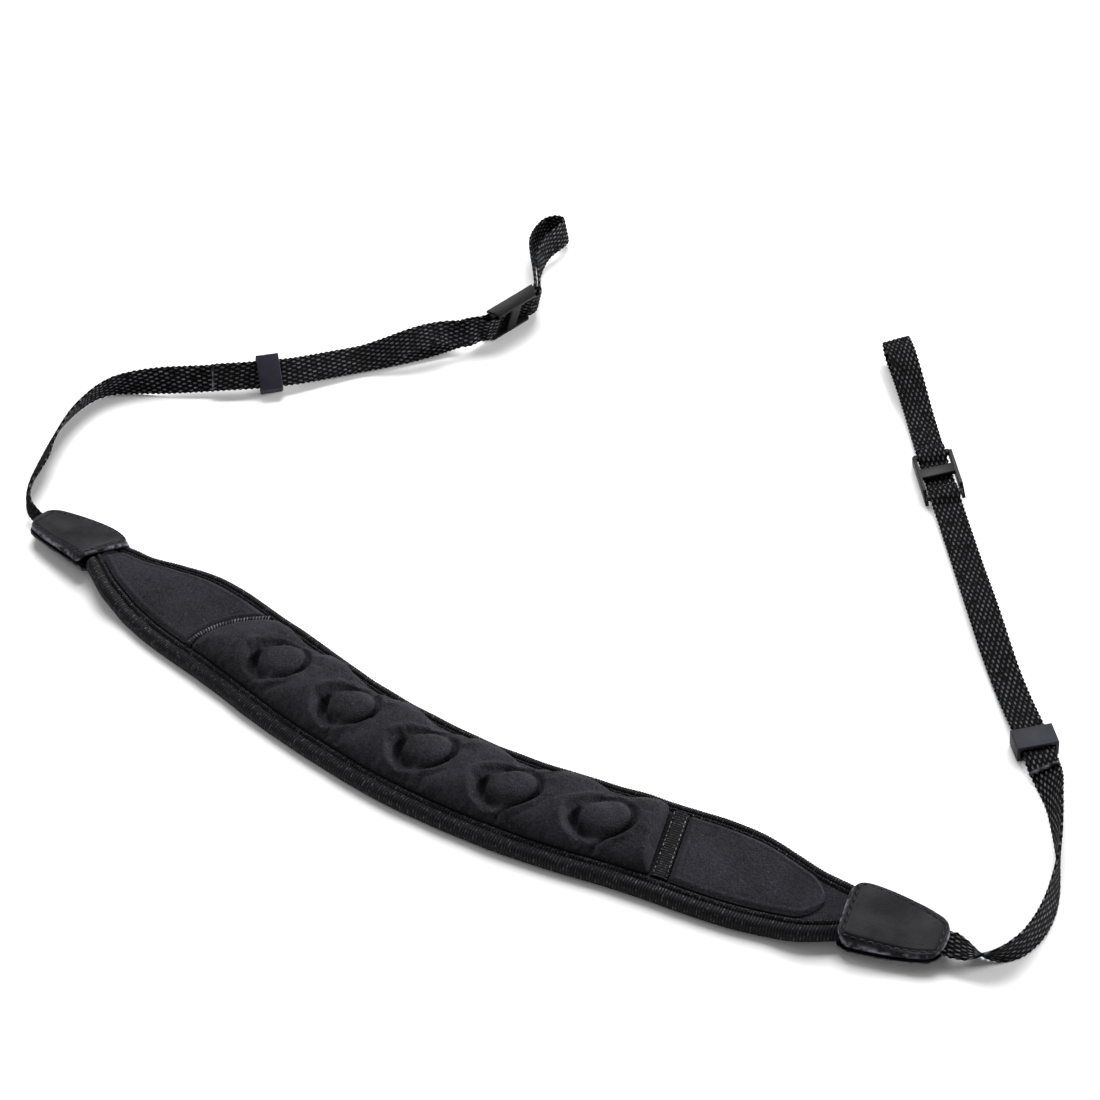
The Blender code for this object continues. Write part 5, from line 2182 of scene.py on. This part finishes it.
@dataclass
class SlideBuckle:
    """A three-bar slide: two rails, two low end bars and a high middle bar.

    Attributes:
        band: the band.
        sizes: its sizes.
        bar_edge: radius of the bars' edges.
        edge: radius of its other edges.
    """

    band: Band
    sizes: SlideSizes = SLIDE
    bar_edge: float = 0.5
    edge: float = 0.22

    def rail(self, side: int) -> Piece:
        """One rail, its top drawn in at the two ends.

        Args:
            side: -1 or 1.

        Returns:
            The rail.
        """
        sizes = self.sizes
        x = side * (sizes.wide - sizes.rail_wide) / 2
        size = (sizes.rail_wide, sizes.long, sizes.rail_tall)
        rail = add_block(size, (x, 0.0, sizes.rail_top - sizes.rail_tall / 2))
        select_faces(rail, lambda normal: normal.z > 0.9)
        taper = 1.0 - 2.0 * sizes.rail_taper / sizes.long
        top = (x, 0.0, sizes.rail_top)
        bpy.ops.transform.resize(value=(1.0, taper, 1.0), center_override=top)
        bpy.ops.object.mode_set(mode="OBJECT")
        return rail

    def bar(self, length: float, y: float, low: float) -> Piece:
        """One cross bar, rounded to a long oval.

        Args:
            length: its length along the band.
            y: its place along it.
            low: height of its underside.

        Returns:
            The bar.
        """
        size = (self.sizes.wide - self.sizes.rail_wide, length, self.sizes.bar_thick)
        bar = add_block(size, (0.0, y, low + self.sizes.bar_thick / 2))
        soften(bar, self.bar_edge, 3, 60.0)
        return bar

    def build(self) -> Piece:
        """Models the rails and bars and joins them.

        Returns:
            The buckle as one piece.
        """
        sizes, band = self.sizes, self.band
        under = band.thick / 2 + CLEARANCE
        above = band.layer_pitch + under
        end_y = (sizes.long - sizes.end_bar_long) / 2 - CLEARANCE / 2
        buckle = self.rail(-1)
        parts = [self.rail(1), self.bar(sizes.middle_bar_long, 0.0, above)]
        parts += [self.bar(sizes.end_bar_long, side * end_y, under) for side in (-1, 1)]
        for part in parts:
            join = buckle.modifiers.new("join", "BOOLEAN")
            join.operation = "UNION"
            join.object = part
            bpy.context.view_layer.objects.active = buckle
            bpy.ops.object.modifier_apply(modifier=join.name)
            bpy.data.objects.remove(part, do_unlink=True)
        soften(buckle, self.edge, 2, 50.0)
        name = band.end.value
        settle(buckle, f"slide_buckle_{name}", band.placement(band.row.buckle, 0.0))
        return place_piece(buckle, BLACK_ACETAL, f"buckle_{name}")


# ---- studio
class Lamp(NamedTuple):
    """A soft box: where it is, its place and its side in metres, and its power."""

    name: str
    place: tuple[float, float, float]
    size: float
    watts: float


@dataclass
class Studio:
    """Pale table, soft light, and a camera at the photograph's angle.

    Attributes:
        focal_px: focal length in pixels of a frame frame_px wide.
        frame_px: side of the square frame.
        elevation_deg: how far the camera looks down.
        distance_mm: from the camera to the table at the frame's middle.
        lamps: the soft boxes.
        room_light: strength of the light that the pale room gives from all sides.
        table_size: side of the table, in metres, so large that its edge is never seen.
    """

    focal_px: float = 2400.0
    frame_px: float = 1100.0
    elevation_deg: float = 42.0
    distance_mm: float = 855.0
    lamps: tuple[Lamp, ...] = (
        Lamp("back_box", (0.0, 1.8, 2.5), 2.0, 126.0),
        Lamp("left_box", (-2.4, 0.9, 1.5), 1.0, 14.0),
        Lamp("right_box", (2.4, 0.3, 0.65), 0.7, 84.0),
        Lamp("front_box", (-1.6, -1.6, 0.6), 1.0, 7.0),
    )
    room_light: float = 0.22
    table_size: float = 24.0

    def camera(self) -> None:
        """Adds the camera, which looks along +Y and down."""
        tilt = math.radians(self.elevation_deg)
        view = bpy.data.cameras.new("photo_view")
        view.sensor_width = 36.0
        view.lens = view.sensor_width * self.focal_px / self.frame_px
        eye = add_object("photo_view", view)
        back, up = math.cos(tilt) * self.distance_mm, math.sin(tilt) * self.distance_mm
        eye.location = (LAYOUT_SHIFT[0] * MM, (LAYOUT_SHIFT[1] - back) * MM, up * MM)
        eye.rotation_euler = (math.pi / 2 - tilt, 0.0, 0.0)
        bpy.context.scene.camera = eye
        bpy.context.scene.view_settings.view_transform = "Standard"

    def lights(self) -> None:
        """Hangs the soft boxes, all turned to the strap, and a pale surrounding."""
        for lamp in self.lamps:
            light = bpy.data.lights.new(lamp.name, "AREA")
            light.size = lamp.size
            light.energy = lamp.watts
            hung = add_object(lamp.name, light)
            hung.location = lamp.place
            hung.rotation_euler = (-Vector(lamp.place)).to_track_quat("-Z", "Y").to_euler()
        world = bpy.data.worlds.new("pale_room")
        world.use_nodes = True
        background = world.node_tree.nodes["Background"]
        background.inputs["Color"].default_value = (1.0, 1.0, 1.0, 1.0)
        background.inputs["Strength"].default_value = self.room_light
        bpy.context.scene.world = world

    def table(self) -> None:
        """Lays the pale table, which isn't part of the strap."""
        deselect_all()
        bpy.ops.mesh.primitive_plane_add(size=self.table_size)
        table = bpy.context.active_object
        table.name = "table"
        surface = bpy.data.materials.new("white_laminate")
        surface.use_nodes = True
        shader = surface.node_tree.nodes["Principled BSDF"]
        shader.inputs["Base Color"].default_value = (0.93, 0.93, 0.93, 1.0)
        shader.inputs["Roughness"].default_value = 0.7
        shader.inputs["Specular IOR Level"].default_value = 0.2
        table.data.materials.append(surface)


def main() -> None:
    """Builds the strap, piece by piece, and the studio round it."""
    logging.basicConfig(level=logging.INFO, format="%(message)s")
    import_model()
    studio = Studio()
    studio.camera()
    studio.lights()
    studio.table()
    space = PadSpace()
    FoamBase(space).build()
    EdgeTape(space, "near", -1, NEAR_FOLD, stitch_in=5.55, stitch_height=5.20).build()
    EdgeTape(space, "far", 1, FAR_FOLD, stitch_in=3.42, stitch_height=4.88).build()
    cushion = Cushion(space)
    cushion.build()
    cross = CrossPieces(space, cushion)
    cross.build()
    Wings(
        space,
        (EndLine(-147.0, ENDS[End.LEFT].slant),
         cross.seam.moved(-cross.seam_width / 2 - CLEARANCE)),
        (cross.tape.moved(cross.tape_width / 2 + CLEARANCE), EndLine(138.5)),
    ).build()
    for end in End:
        Tab(space, end).build()
        band = Band(space, end)
        band.build()
        Keeper(band).build()
        SlideBuckle(band).build()


if __name__ == "__main__":
    main()
